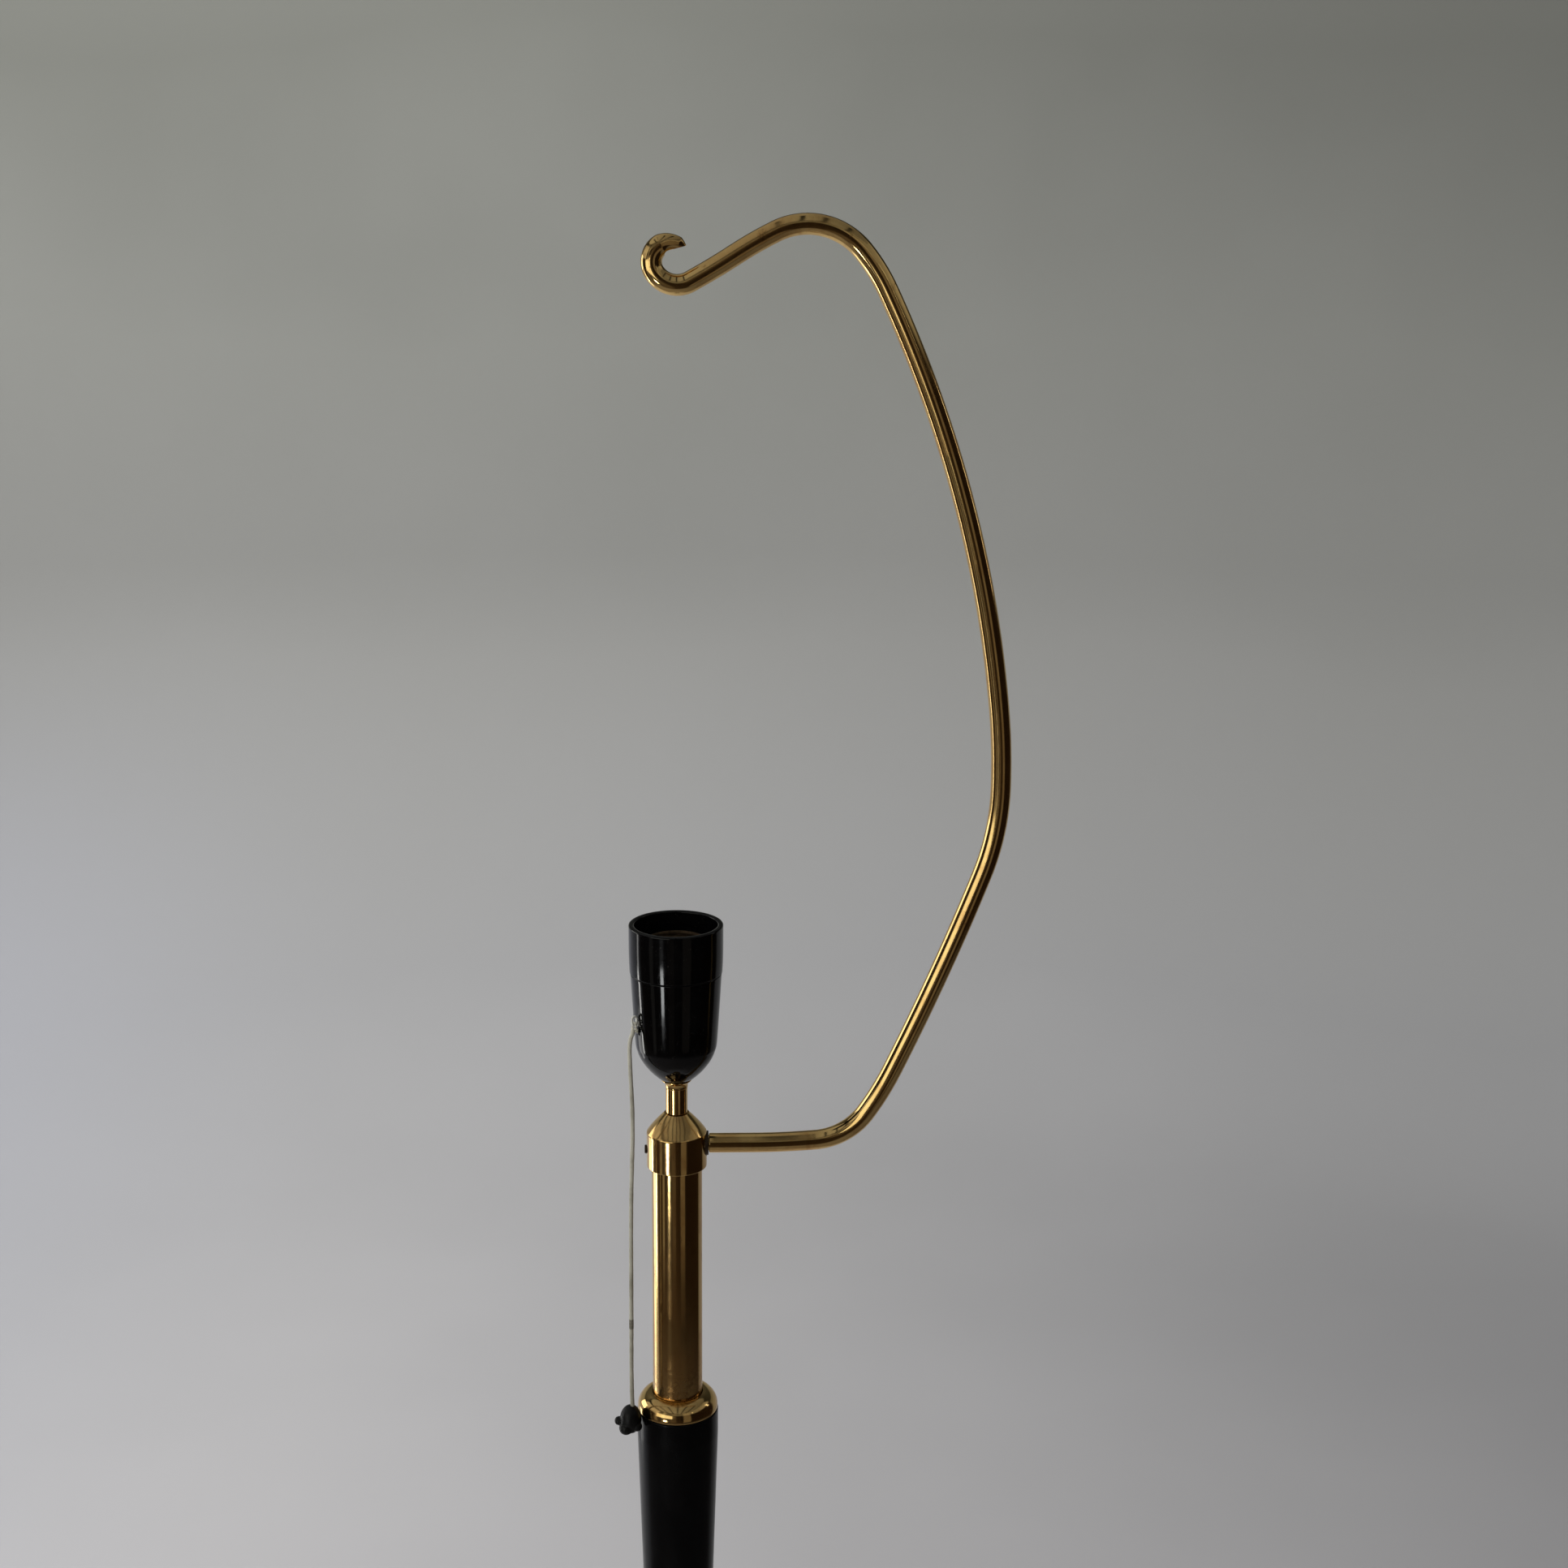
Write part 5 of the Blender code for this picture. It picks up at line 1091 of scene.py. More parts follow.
def make_collar():
    size = sizes("lamp_head_sizes")
    low, high, radius = span("head_collar")
    reach = radius - size.cone_top
    cone = [(size.cone_top + out * reach, high - down * size.cone_height) for out, down in CONE_SHARES]
    cone = [tuple(point) for point in curve_through(cone, 5)]
    step = low + size.lip
    ceiling = step + size.spigot_room
    outline = [(size.nipple_hole, high)] + cone
    outline += [(radius, low, size.edge * 2), (size.lip_bore, low, size.edge), (size.lip_bore, step),
                (size.turning_bore, step), (size.turning_bore, ceiling), (size.nipple_hole, ceiling)]
    collar = lathe("finished_head_collar", outline, size.facets)
    over = radius + 2 * OVERRUN
    arm_z = low + size.arm_height
    cut(collar, to_out(rod("arm_seat", size.seat_radius, size.seat_face, over, 64), arm_z))
    cut(collar, to_out(rod("stud_hole", size.stud_hole, size.turning_bore / 2, over, 48), arm_z))
    screw = rod("screw_hole", size.screw_hole, -over, -size.turning_bore / 2, 48)
    cut(collar, to_out(screw, low + size.screw_height))
    dress(smooth(collar), "head_collar", "turned_brass")


def make_set_screw():
    size = sizes("lamp_head_sizes")
    outer = -BOXES["collar_set_screw"][0].x
    height = lowest("head_collar") + size.screw_height
    face_edge, tip_edge = 0.00045, 0.0003
    outline = [(0.0, -outer), (size.screw_radius, -outer, face_edge),
               (size.screw_radius, -size.screw_tip, tip_edge), (0.0, -size.screw_tip)]
    screw = lathe("finished_collar_set_screw", outline, 40)
    reach = size.screw_radius + OVERRUN
    slot = rectangle(-reach, reach, size.screw_slot / 2)
    cut(screw, prism("screw_slot", slot, -outer - OVERRUN, -outer + size.screw_slot_depth))
    dress(smooth(to_out(screw, height)), "collar_set_screw", "blackened_steel")


def make_arm_nut():
    size = sizes("lamp_head_sizes")
    low, high = BOXES["arm_lock_nut"]
    radius = (high.y - low.y) / 2
    seat_edge, face_edge = 0.0002, 0.00045
    outline = [(size.stud_hole, low.x), (radius, low.x, seat_edge), (radius, high.x, face_edge),
               (size.stud_hole, high.x)]
    nut = lathe("finished_arm_lock_nut", outline, 64)
    height = lowest("head_collar") + size.arm_height
    dress(smooth(to_out(nut, height)), "arm_lock_nut", "blackened_steel")


def make_spacer():
    size = sizes("lamp_head_sizes")
    low, high, radius = span("spacer_tube")
    outline = [(radius, low, size.edge), (radius, high, size.edge), (size.nipple_hole, high),
               (size.nipple_hole, low)]
    dress(smooth(lathe("finished_spacer_tube", outline, size.facets // 2)), "spacer_tube", "turned_brass")


def make_cup():
    """The flared cup, whose flare starts and rises by shares of its height."""
    size = sizes("lamp_head_sizes")
    low, high, radius = span("flared_cup")
    height = high - low
    foot, flare_start, flare_rise = 0.0057, 0.05, 0.83
    flare = arc((radius, low + height * flare_start), (radius - foot, height * flare_rise), 180, 90, 10)
    outline = [(size.nipple_hole, low), (foot, low, size.edge)] + flare
    outline += [(radius, high, size.edge), (size.nipple_hole, high)]
    dress(smooth(lathe("finished_flared_cup", outline, size.facets // 2)), "flared_cup", "turned_brass")


class FLOORLAMP_OT_head(bpy.types.Operator):
    """Make the collar, its set screw, the arm's nut, the spacer and the cup"""

    bl_idname = "floor_lamp.make_head"
    bl_label = "Head"

    def execute(self, context):
        make_collar()
        make_set_screw()
        make_arm_nut()
        make_spacer()
        make_cup()
        repaint_nodes("zinc_steel", "threaded_nipple", "holder_nut")
        return {"FINISHED"}


# Shade arm, made of bends: each has its length, its turn in degrees and the radius at its end

ARM_RUNS = (
    (0.0213, 0.0, 0.0050),
    (0.0325, 4.65, 0.0050),
    (0.0301, 50.75, 0.0050),
    (0.0267, 9.75, 0.0050),
    (0.1104, 4.6, 0.0050),
    (0.0456, 19.95, 0.0050),
    (0.0385, 6.5, 0.0050),
    (0.2082, 20.05, 0.0050),
    (0.0212, 13.95, 0.0050),
    (0.0446, 76.1, 0.0050),
    (0.0213, 6.4, 0.0050),
    (0.0243, -4.15, 0.0050),
    (0.0176, -80.5, 0.0050),
    (0.0153, -98.0, 0.0050),
    (0.0051, -32.7, 0.0038),
    (0.0036, -18.0, 0.0031),
    (0.0030, -15.0, 0.0010),
)


def arm_stations():
    """Centres and radii along the arm, from the stud in the collar to the hook's tip."""
    size = sizes("lamp_arm_sizes")
    height = lowest("head_collar") + sizes("lamp_head_sizes").arm_height
    start = size.shoulder
    stations = [(size.start, size.stud - size.edge), (size.start + size.edge, size.stud),
                (start - size.edge / 4, size.stud), (start, size.radius - size.edge),
                (start + size.edge / 3, size.radius - size.edge / 3), (start + size.edge, size.radius)]
    stations = [((x, 0.0, height), radius) for x, radius in stations]
    x, z, heading, radius = start, height, 0.0, size.radius
    for run, turn, end_radius in ARM_RUNS:
        turn_steps = math.ceil(abs(turn) / math.degrees(size.ring_turn))
        steps = max(1, turn_steps, math.ceil(run / size.ring_spacing))
        for number in range(1, steps + 1):
            middle = math.radians(heading + turn / steps / 2)
            x += run / steps * math.cos(middle)
            z += run / steps * math.sin(middle)
            heading += turn / steps
            stations.append(((x, 0.0, z), radius + (end_radius - radius) * number / steps))
        radius = end_radius
    return stations


def hook_cut(tip):
    """The wedge that leaves the hook's end flat on its under side."""
    size = sizes("lamp_arm_sizes")
    front = size.radius
    back = -size.cut_length
    corner = back - size.cut_corner
    outline = [(front, front * size.cut_slope), (back, back * size.cut_slope),
               (corner, back * size.cut_slope - size.cut_corner), (corner, -size.cut_depth),
               (front, -size.cut_depth)]
    wedge = prism("hook_cut", outline, -size.radius * 1.5, size.radius * 1.5)
    return move(wedge, lambda co: (tip[0] + co.x, co.z, tip[2] + size.cut_rise + co.y))


class FLOORLAMP_OT_arm(bpy.types.Operator):
    """Make the bent shade arm with its hook"""

    bl_idname = "floor_lamp.make_arm"
    bl_label = "Shade arm"

    def execute(self, context):
        stations = arm_stations()
        arm = sweep("finished_shade_arm", stations, sizes("lamp_arm_sizes").facets)
        cut(arm, hook_cut(stations[-1][0]))
        dress(smooth(arm), "shade_arm", "drawn_brass")
        return {"FINISHED"}


# Lampholder, heights counted down from its rim

# The body's dome, from the barrel down: shares of the barrel's radius and of the drop to the foot

DOME_SHARES = ((0.963, 0.215), (0.900, 0.392), (0.812, 0.549), (0.696, 0.706), (0.574, 0.838), (0.467, 0.936))


def make_skirt():
    size = sizes("lamp_holder_sizes")
    foot, rim, radius = span("holder_skirt")
    lip = radius - size.rim_wall
    flange = rim - size.flange_depth
    flange_foot = flange - size.flange_wall
    middle = (rim + foot) / 2
    corner, swell = 0.0006, 0.75
    outline = [(size.thread, foot, size.edge), (size.skirt_foot, foot, size.edge * 1.5)]
    outline += [(size.skirt_foot + (radius - size.skirt_foot) * swell, (foot + middle) / 2),
                (radius, middle)]
    outline += [(radius, rim, size.rim_round), (lip, rim, size.rim_round), (lip, flange, corner),
                (size.flange_bore, flange, size.edge), (size.flange_bore, flange_foot, size.edge),
                (size.thread, flange_foot)]
    dress(smooth(lathe("finished_holder_skirt", outline, size.facets)), "holder_skirt", "black_bakelite")


def holder_frame(out, side, height):
    """A place given by its way out along the pull side, its way sideways and its height over the rim."""
    turn = sizes("lamp_holder_sizes").azimuth
    return Vector((out * math.cos(turn) - side * math.sin(turn), out * math.sin(turn) + side * math.cos(turn),
                   highest("holder_skirt") + height))


def to_holder(item):
    """Turns a piece drawn with the pull side along +X and the rim at zero height into its place."""
    return move(item, lambda co: holder_frame(co.x, co.y, co.z))


def make_body():
    size = sizes("lamp_holder_sizes")
    total = highest("holder_skirt") - lowest("holder_body")
    top = highest("holder_skirt") - lowest("holder_skirt")
    gap, swell = 0.0003, 0.53
    thread = size.thread - gap
    drop = total - size.shoulder_depth
    middle = size.shoulder + (size.body_top - size.shoulder) * swell
    barrel = [(size.body_top, -top - gap), (middle, -(top + size.shoulder_depth) / 2),
              (size.shoulder, -size.shoulder_depth)]
    barrel += [(size.shoulder * out, -size.shoulder_depth - drop * down) for out, down in DOME_SHARES]
    barrel.append((size.foot, -total))
    barrel = [tuple(point) for point in curve_through(barrel, 6)]
    ledge = -size.core_depth
    floor = size.floor_wall - total
    bowl = arc((size.floor_radius, floor + size.floor_radius),
               (size.cavity - size.floor_radius, size.floor_radius), -90, 0, 8)
    hole = sizes("lamp_head_sizes").nipple_hole
    outline = [(size.body_bore, -size.body_thread_depth), (thread, -size.body_thread_depth),
               (thread, -top - gap), (size.body_top, -top - gap, size.edge * 1.5)] + barrel[1:]
    outline += [(hole, -total), (hole, floor)] + bowl[1:] + [(size.cavity, ledge), (size.body_bore, ledge)]
    body = lathe("finished_holder_body", outline, size.facets)
    slot = rectangle(size.cavity - 2 * OVERRUN, size.body_top + 3 * OVERRUN, size.slot_width / 2)
    cut(body, prism("lever_slot", slot, -size.slot_low, -size.slot_high))
    dress(smooth(to_holder(body)), "holder_body", "black_bakelite")


def make_screw_shell():
    """The rolled screw shell: a thin sheet whose wall follows a helical thread and ends in a flared lip."""
    size = sizes("lamp_holder_sizes")
    low, high = lowest("screw_shell"), highest("screw_shell")
    lip, lip_height, top_fade, foot_fade = 0.0004, 0.0010, 0.0030, 0.0040
    out = half_width("screw_shell") - lip
    steps, facets = 64, 96
    points = []
    for wall in (0.0, size.shell_wall):
        for number in range(steps + 1):
            height = low + (high - low) * number / steps
            fade = min(1.0, (high - height) / top_fade, (height - low) / foot_fade)
            for step in range(facets):
                turn = math.tau * step / facets
                wave = math.cos(math.tau * (height - low) / size.shell_pitch - turn)
                radius = out - size.shell_wave * fade * (1 - wave) - wall
                radius += lip * max(0.0, 1 - (high - height) / lip_height)
                points.append((radius * math.cos(turn), radius * math.sin(turn), height))
    faces = []
    sheet = (steps + 1) * facets
    for step in range(facets):
        following = (step + 1) % facets
        for number in range(steps):
            for offset in (0, sheet):
                base = offset + number * facets
                faces.append([base + step, base + following, base + facets + following, base + facets + step])
        for base in (0, steps * facets):
            faces.append([base + step, base + following, sheet + base + following, sheet + base + step])
    dress(smooth(make_mesh("finished_screw_shell", points, faces)), "screw_shell", "aged_brass")


class FLOORLAMP_OT_holder(bpy.types.Operator):
    """Make the lampholder: skirt, body, screw shell and the finishes inside"""

    bl_idname = "floor_lamp.make_holder"
    bl_label = "Lampholder"

    def execute(self, context):
        make_skirt()
        make_body()
        make_screw_shell()
        repaint_nodes("porcelain", "holder_core")
        repaint_nodes("aged_brass", "centre_contact", "side_contact", "terminal_left", "terminal_right")
        repaint_nodes("zinc_steel", "terminal_screw_left", "terminal_screw_right", "lever_pin",
                      "switch_spring")
        repaint_nodes("black_bakelite", "switch_rotor")
        return {"FINISHED"}


# Pull switch lever, cord and knob


def oval(width, height, steps):
    """An upright oval of (out, height) points with straight sides and round ends."""
    radius = width / 2
    straight = height / 2 - radius
    return (arc((0.0, straight), (radius, radius), 0, 180, steps)
            + arc((0.0, -straight), (radius, radius), 180, 360, steps))


def make_lever():
    size = sizes("lamp_pull_sizes")
    half = size.plate / 2
    arm_low = -size.arm_depth
    arm_high = arm_low + size.arm_height
    inner = size.eye_out - size.eye_width / 2 + size.wire * 0.6
    pivot = (size.pivot_out, -size.pivot_depth)
    outline = arc(pivot, (size.hub, size.hub), 140, 385, 28)
    knee = size.pivot_out + size.hub * 1.9
    under_round, top_round, bevel_width = 0.0006, 0.001, 0.00012
    outline += [(knee, arm_low, under_round), (inner, arm_low), (inner, arm_high),
                (knee - size.hub * 0.6, arm_high, top_round)]
    plate = prism("finished_switch_lever", rounded(outline), -half, half)
    bore = arc(pivot, (size.hub_bore, size.hub_bore), 0, 345, 23)
    cut(plate, prism("lever_bore", bore, -half - OVERRUN, half + OVERRUN))
    plate = move(plate, lambda co: (co.x, -co.z, co.y))
    bevel = plate.modifiers.new("edges", "BEVEL")
    bevel.width = bevel_width
    bevel.segments = 2
    bevel.limit_method = "ANGLE"
    applied(plate)
    loop = oval(size.eye_width - 2 * size.wire, size.eye_height - 2 * size.wire, 20)
    stations = [((size.eye_out + x, 0.0, -size.eye_depth + z), size.wire) for x, z in loop]
    eye = sweep("lever_eye", stations, 20, closed=True)
    combine(plate, eye, "UNION")
    dress(smooth(to_holder(plate)), "switch_lever", "satin_nickel")


# Centreline of the pull cord in metres, from the knot down to the knob

CORD_ROUTE = [
    (-0.02135, -0.01233, 1.15690),
    (-0.02210, -0.01250, 1.15550),
    (-0.02270, -0.01260, 1.15270),
    (-0.02295, -0.01260, 1.14920),
    (-0.02290, -0.01260, 1.14370),
    (-0.02250, -0.01260, 1.13250),
    (-0.02200, -0.01255, 1.12100),
    (-0.02185, -0.01250, 1.11000),
    (-0.02200, -0.01250, 1.09800),
    (-0.02240, -0.01255, 1.08500),
    (-0.02280, -0.01260, 1.07000),
    (-0.02305, -0.01260, 1.05400),
    (-0.02315, -0.01260, 1.03800),
    (-0.02320, -0.01260, 1.02200),
    (-0.02330, -0.01260, 1.00600),
    (-0.02340, -0.01260, 0.99000),
    (-0.02350, -0.01260, 0.97500),
    (-0.02340, -0.01260, 0.96200),
    (-0.02320, -0.01260, 0.95450),
    (-0.02320, -0.01260, 0.95180),
]


def even_route(points, spacing):
    """Evenly spaced points on a smooth curve through the route."""
    dense = curve_through(points, 24)
    lengths = [0.0]
    for before, after in zip(dense[:-1], dense[1:]):
        lengths.append(lengths[-1] + (after - before).length)
    total = max(2, round(lengths[-1] / spacing))
    even = []
    cursor = 0
    for number in range(total + 1):
        wanted = lengths[-1] * number / total
        while cursor < len(lengths) - 2 and lengths[cursor + 1] < wanted:
            cursor += 1
        gap = lengths[cursor + 1] - lengths[cursor]
        even.append(dense[cursor].lerp(dense[cursor + 1], (wanted - lengths[cursor]) / gap))
    return even


def braid(relief, pitch, yarns):
    """The surface of a braid: two families of yarns that cross and pass over each other."""

    def radius_at(way, turn, radius):
        lead = math.tau * way / pitch
        left = math.cos(yarns * turn + yarns * lead / 2)
        right = math.cos(yarns * turn - yarns * lead / 2)
        return radius * (1 - relief + relief * max(left, right))

    return radius_at


# The cord's way into the knot and its end: way out from the knot's middle, way sideways, and height

KNOT_ENTRY = ((0.0020, 0.0, -0.0050), (0.0016, -0.0004, -0.0028))
KNOT_EXIT = (-0.0008, -0.0007, -0.0007)

# The loop through the eye: way out from the eye's middle, then its way sideways and its rise as shares
# of the loop's reach over the eye's foot, and what is added to the rise

KNOT_LOOP = (
    (0.0003, -0.95, 0.0, -0.0008),
    (0.00008, -0.75, 0.75, 0.0),
    (0.00008, 0.0, 1.0, 0.0),
    (0.00008, 0.75, 0.75, 0.0),
    (-0.0001, 1.05, 0.0, -0.0004),
)

# The knot's turns: their number, their drop under the eye's foot, their fall and the points on them

KNOT_TURNS = 1.8
KNOT_DROP = 0.0018
KNOT_FALL = 0.0020
KNOT_POINTS = 18


def make_knot():
    """The cord's upper end: through the eye, then nearly two tight turns round itself."""
    size = sizes("lamp_pull_sizes")
    thin = size.knot_cord
    eye_foot = -size.eye_depth - size.eye_height / 2 + size.wire
    over = size.wire + thin * 1.8
    points = [(size.knot_out + out, side, eye_foot + height) for out, side, height in KNOT_ENTRY]
    points += [(size.eye_out + out, side * over, eye_foot + rise * over + height)
               for out, side, rise, height in KNOT_LOOP]
    start = eye_foot - KNOT_DROP
    for number in range(KNOT_POINTS + 1):
        turn = math.radians(90) - math.tau * KNOT_TURNS * number / KNOT_POINTS
        points.append((size.knot_out + size.knot_radius * math.cos(turn), size.knot_radius * math.sin(turn),
                       start - KNOT_FALL * number / KNOT_POINTS))
    out, side, height = KNOT_EXIT
    points.append((size.knot_out + out, side, start - KNOT_FALL + height))
    ring, taper, taper_rings, foot_share, tip_share = 0.00030, 0.0048, 20, 0.97, 0.6
    route = even_route([holder_frame(*point) for point in points], ring)
    full = size.cord_diameter / 2 * foot_share
    foot = route[0].z
    stations = []
    for index, point in enumerate(route):
        tight = min(1.0, (point.z - foot) / taper) if index < taper_rings else 1.0
        stations.append((point, full + (thin - full) * tight ** 2))
    stations[-1] = (stations[-1][0], thin * tip_share)
    surface = braid(0.05, size.braid_pitch * 0.7, 4)
    knot = sweep("finished_cord_knot", stations, 16, radius_at=surface)
    return dress(smooth(knot), "cord_knot", "braided_cord")


def make_cord():
    size = sizes("lamp_pull_sizes")
    radius = size.cord_diameter / 2
    route = even_route(CORD_ROUTE, size.cord_ring)
    thinned, uneven = 0.985, 0.045
    draw = random.Random(7)
    swell = [draw.uniform(-1.0, 1.0) for _ in range(64)]
    stations = []
    for index, point in enumerate(route):
        way = index / (len(route) - 1) * (len(swell) - 1)
        low = int(way)
        high = min(low + 1, len(swell) - 1)
        bulge = swell[low] + (swell[high] - swell[low]) * (way - low)
        stations.append((point, radius * (thinned + uneven * bulge)))
    cord = sweep("finished_pull_cord", stations, size.cord_facets,
                 radius_at=braid(size.braid_relief, size.braid_pitch, 6))
    return dress(smooth(cord), "pull_cord", "braided_cord"), route


def make_cord_wrap(route):
    """A few turns of dark thread wound over the cord, about a quarter of the way up from the knob."""
    size = sizes("lamp_pull_sizes")
    over, end_share, relief, rings = 1.04, 0.94, 0.05, 8
    radius = size.cord_diameter / 2 * over
    wound = [point for point in even_route(route, size.thread_pitch / rings)
             if abs(point.z - size.wrap_height) < size.wrap_length / 2]
    stations = [(point, radius) for point in wound]
    stations[0] = (wound[0], radius * end_share)
    stations[-1] = (wound[-1], radius * end_share)

    def turns(way, turn, radius):
        return radius * (1.0 + relief * math.cos(math.tau * way / size.thread_pitch - turn))

    wrap = sweep("finished_cord_wrap", stations, size.cord_facets, radius_at=turns)
    return dress(smooth(wrap), "pull_cord", "wrapping_thread")


# Places of the front lobe, the side lobe and the nub, as shares of the knob's radius and half height

LOBE_SHARES = ((-0.41, -0.40, -0.49), (0.60, -0.45, -0.38), (-1.09, 0.05, -0.15))


def make_knob():
    """Lobed pull knob whose lobes are blended into its body."""
    size = sizes("lamp_pull_sizes")
    end = Vector(CORD_ROUTE[-1])
    top = highest("pull_knob")
    half = size.knob_height / 2
    centre = Vector((end.x - size.knob_offset, end.y, top - half))
    balls = [((0.0, 0.0, 0.0), (size.knob_radius, size.knob_radius, half))]
    for radius, (out, side, height) in zip((size.front_lobe, size.side_lobe, size.nub), LOBE_SHARES):
        spot = (out * size.knob_radius, side * size.knob_radius, height * half)
        balls.append((spot, (radius,) * 3))
    bm = bmesh.new()
    for spot, radii in balls:
        made = bmesh.ops.create_uvsphere(bm, u_segments=48, v_segments=32, radius=1.0)
        for vert in made["verts"]:
            vert.co = centre + Vector([vert.co[axis] * radii[axis] + spot[axis] for axis in range(3)])
    mesh = bpy.data.meshes.new("finished_pull_knob")
    bm.to_mesh(mesh)
    bm.free()
    knob = bpy.data.objects.new("finished_pull_knob", mesh)
    bpy.context.scene.collection.objects.link(knob)
    remesh = knob.modifiers.new("blend", "REMESH")
    remesh.mode = "VOXEL"
    remesh.voxel_size = size.knob_grain
    soften = knob.modifiers.new("soften", "SMOOTH")
    soften.factor = 0.5
    soften.iterations = 4
    applied(knob)
    clearance, hole_depth = 0.0001, 0.0026
    hole = rod("cord_hole", size.cord_diameter / 2 + clearance, top - hole_depth, top + OVERRUN, 32)
    cut(knob, move(hole, lambda co: (end.x + co.x, end.y + co.y, co.z)))
    return dress(smooth(knob), "pull_knob", "satin_bakelite")


class FLOORLAMP_OT_pull(bpy.types.Operator):
    """Make the switch lever with its eye, the knot, the braided cord and the knob"""

    bl_idname = "floor_lamp.make_pull"
    bl_label = "Pull switch"

    def execute(self, context):
        size = sizes("lamp_pull_sizes")
        make_lever()
        knot = make_knot()
        knob = make_knob()
        cord, route = make_cord()
        wrap = make_cord_wrap(route)
        return {"FINISHED"}


# Studio and camera

FLOOR_DROP = 0.0002  # keeps the floor clear of the felt
FLOOR_RINGS = (0.0, 0.6, 1.2, 1.8)


def make_sweep():
    """A round studio: a flat floor, a curved sweep and a wall, all one surface."""
    look = sizes("lamp_studio")
    facets = 128
    profile = [(radius, 0.0) for radius in FLOOR_RINGS]
    centre = (look.floor_radius, look.sweep_radius)
    profile += arc(centre, (look.sweep_radius, look.sweep_radius), -90, 0, 16)
    profile.append((look.floor_radius + look.sweep_radius, look.wall_height))
    points = [(0.0, 0.0, -FLOOR_DROP)]
    for radius, height in profile[1:]:
        for step in range(facets):
            turn = math.tau * step / facets
            points.append((radius * math.cos(turn), radius * math.sin(turn), height - FLOOR_DROP))
    faces = [[0, 1 + step, 1 + (step + 1) % facets] for step in range(facets)]
    for ring in range(len(profile) - 2):
        low = 1 + ring * facets
        for step in range(facets):
            following = (step + 1) % facets
            faces.append([low + step, low + facets + step, low + facets + following, low + following])
    mesh = bpy.data.meshes.new("studio_sweep")
    mesh.from_pydata(points, [], faces)
    mesh.shade_smooth()
    item = bpy.data.objects.new("studio_sweep", mesh)
    bpy.context.scene.collection.objects.link(item)
    mesh.materials.append(studio_paint())
    return item


def studio_paint():
    """Pale floor that passes into a grey wall, with painted shade that darkens the wall towards its top and
    the back towards the right. Reflections alone see more painted shade, a dim half behind the camera and a
    dark upper wall, and a painted light band high up in front.
    """
    look = sizes("lamp_studio")
    paint = Finish("studio_paint")
    x, y, z = paint.split(paint.place)
    radius = (x * x + y * y) ** 0.5
    mottle = paint.noise(paint.place, 1.1, 3.0, 0.5)
    way = (radius.at_most(3.4) - 1.4) * 0.2 + z * 0.3 + (mottle - 0.5) * 0.12
    # Painted shade: the wall's tones grow darker towards its top
    stops = [(0.0, look.floor), (0.38, look.wall_foot), (0.61, look.wall), (0.80, look.wall_high_shaded),
             (0.96, look.wall_top_shaded)]
    tone = paint.node("ShaderNodeValToRGB", {"stops": stops}, {"Fac": way})
    leftward = paint.step(x, -0.5, -1.7) * paint.step(z, 0.9, 0.1)
    tone = paint.mix(leftward, tone, look.floor_left)
    # Painted shade: the back of the studio is darkened towards the right, a little less on the far wall and
    # more high up
    painted_right_shade = paint.step(x + mottle * 0.6 - 0.3, -1.8, 1.7) * paint.step(y, -1.0, 0.5)
    right_shade_depth = 0.52 - paint.step(radius, 1.9, 3.2) * 0.24 + paint.step(z, 0.8, 1.9) * 0.12
    tone = paint.scale(tone, 1.0 - painted_right_shade * right_shade_depth)
    # Painted shade that only reflections see: the wall above about two metres is darkened
    unseen = 1.0 - paint.node("ShaderNodeLightPath", {}, {}, "Is Camera Ray")
    shade = 1.0 - paint.step(z, 1.95, 2.25) * unseen * 0.8
    tone = paint.scale(tone, shade)
    # More painted shade that only reflections see: the half of the studio behind the camera is darkened near
    # the lamp and far out, in place of an unlit room
    toward_camera = (0.17 * x - 0.985 * y) / radius.at_least(0.01)
    front = paint.step(toward_camera, -0.38, -0.22) * unseen
    near = paint.step(radius, 0.05, 0.45) * 0.70 + paint.step(radius, 1.5, 2.0) * 0.30
    dim = paint.mix(paint.step(x, 0.1, 0.9), look.front, look.front_right_shade)
    tone = paint.mix(front * near, tone, dim)
    # Painted light that only reflections see: high up, the half behind the camera is pale again
    tone = paint.mix(front * paint.step(z, 2.4, 2.8), tone, look.front_top_light)
    return paint.use(Base_Color=tone, Roughness=0.95, Specular_IOR_Level=0.05)


def make_light(name, place, target, width, height, watts, tone):
    data = bpy.data.lights.new(name, "AREA")
    data.shape = "RECTANGLE"
    data.size = width
    data.size_y = height
    data.energy = watts
    data.color = tone
    light = bpy.data.objects.new(name, data)
    bpy.context.scene.collection.objects.link(light)
    light.location = place
    light.rotation_euler = (Vector(target) - Vector(place)).to_track_quat("-Z", "Y").to_euler()
    light.visible_camera = False
    return light


def ring_place(degrees, distance, height):
    """A place round the lamp, counted from the camera's side towards the right."""
    turn = math.radians(degrees)
    return Vector((distance * math.sin(turn), -distance * math.cos(turn), height))


# Upright light panels round the lamp: name, degrees from the camera's side, distance, width, foot, top,
# glow and tone

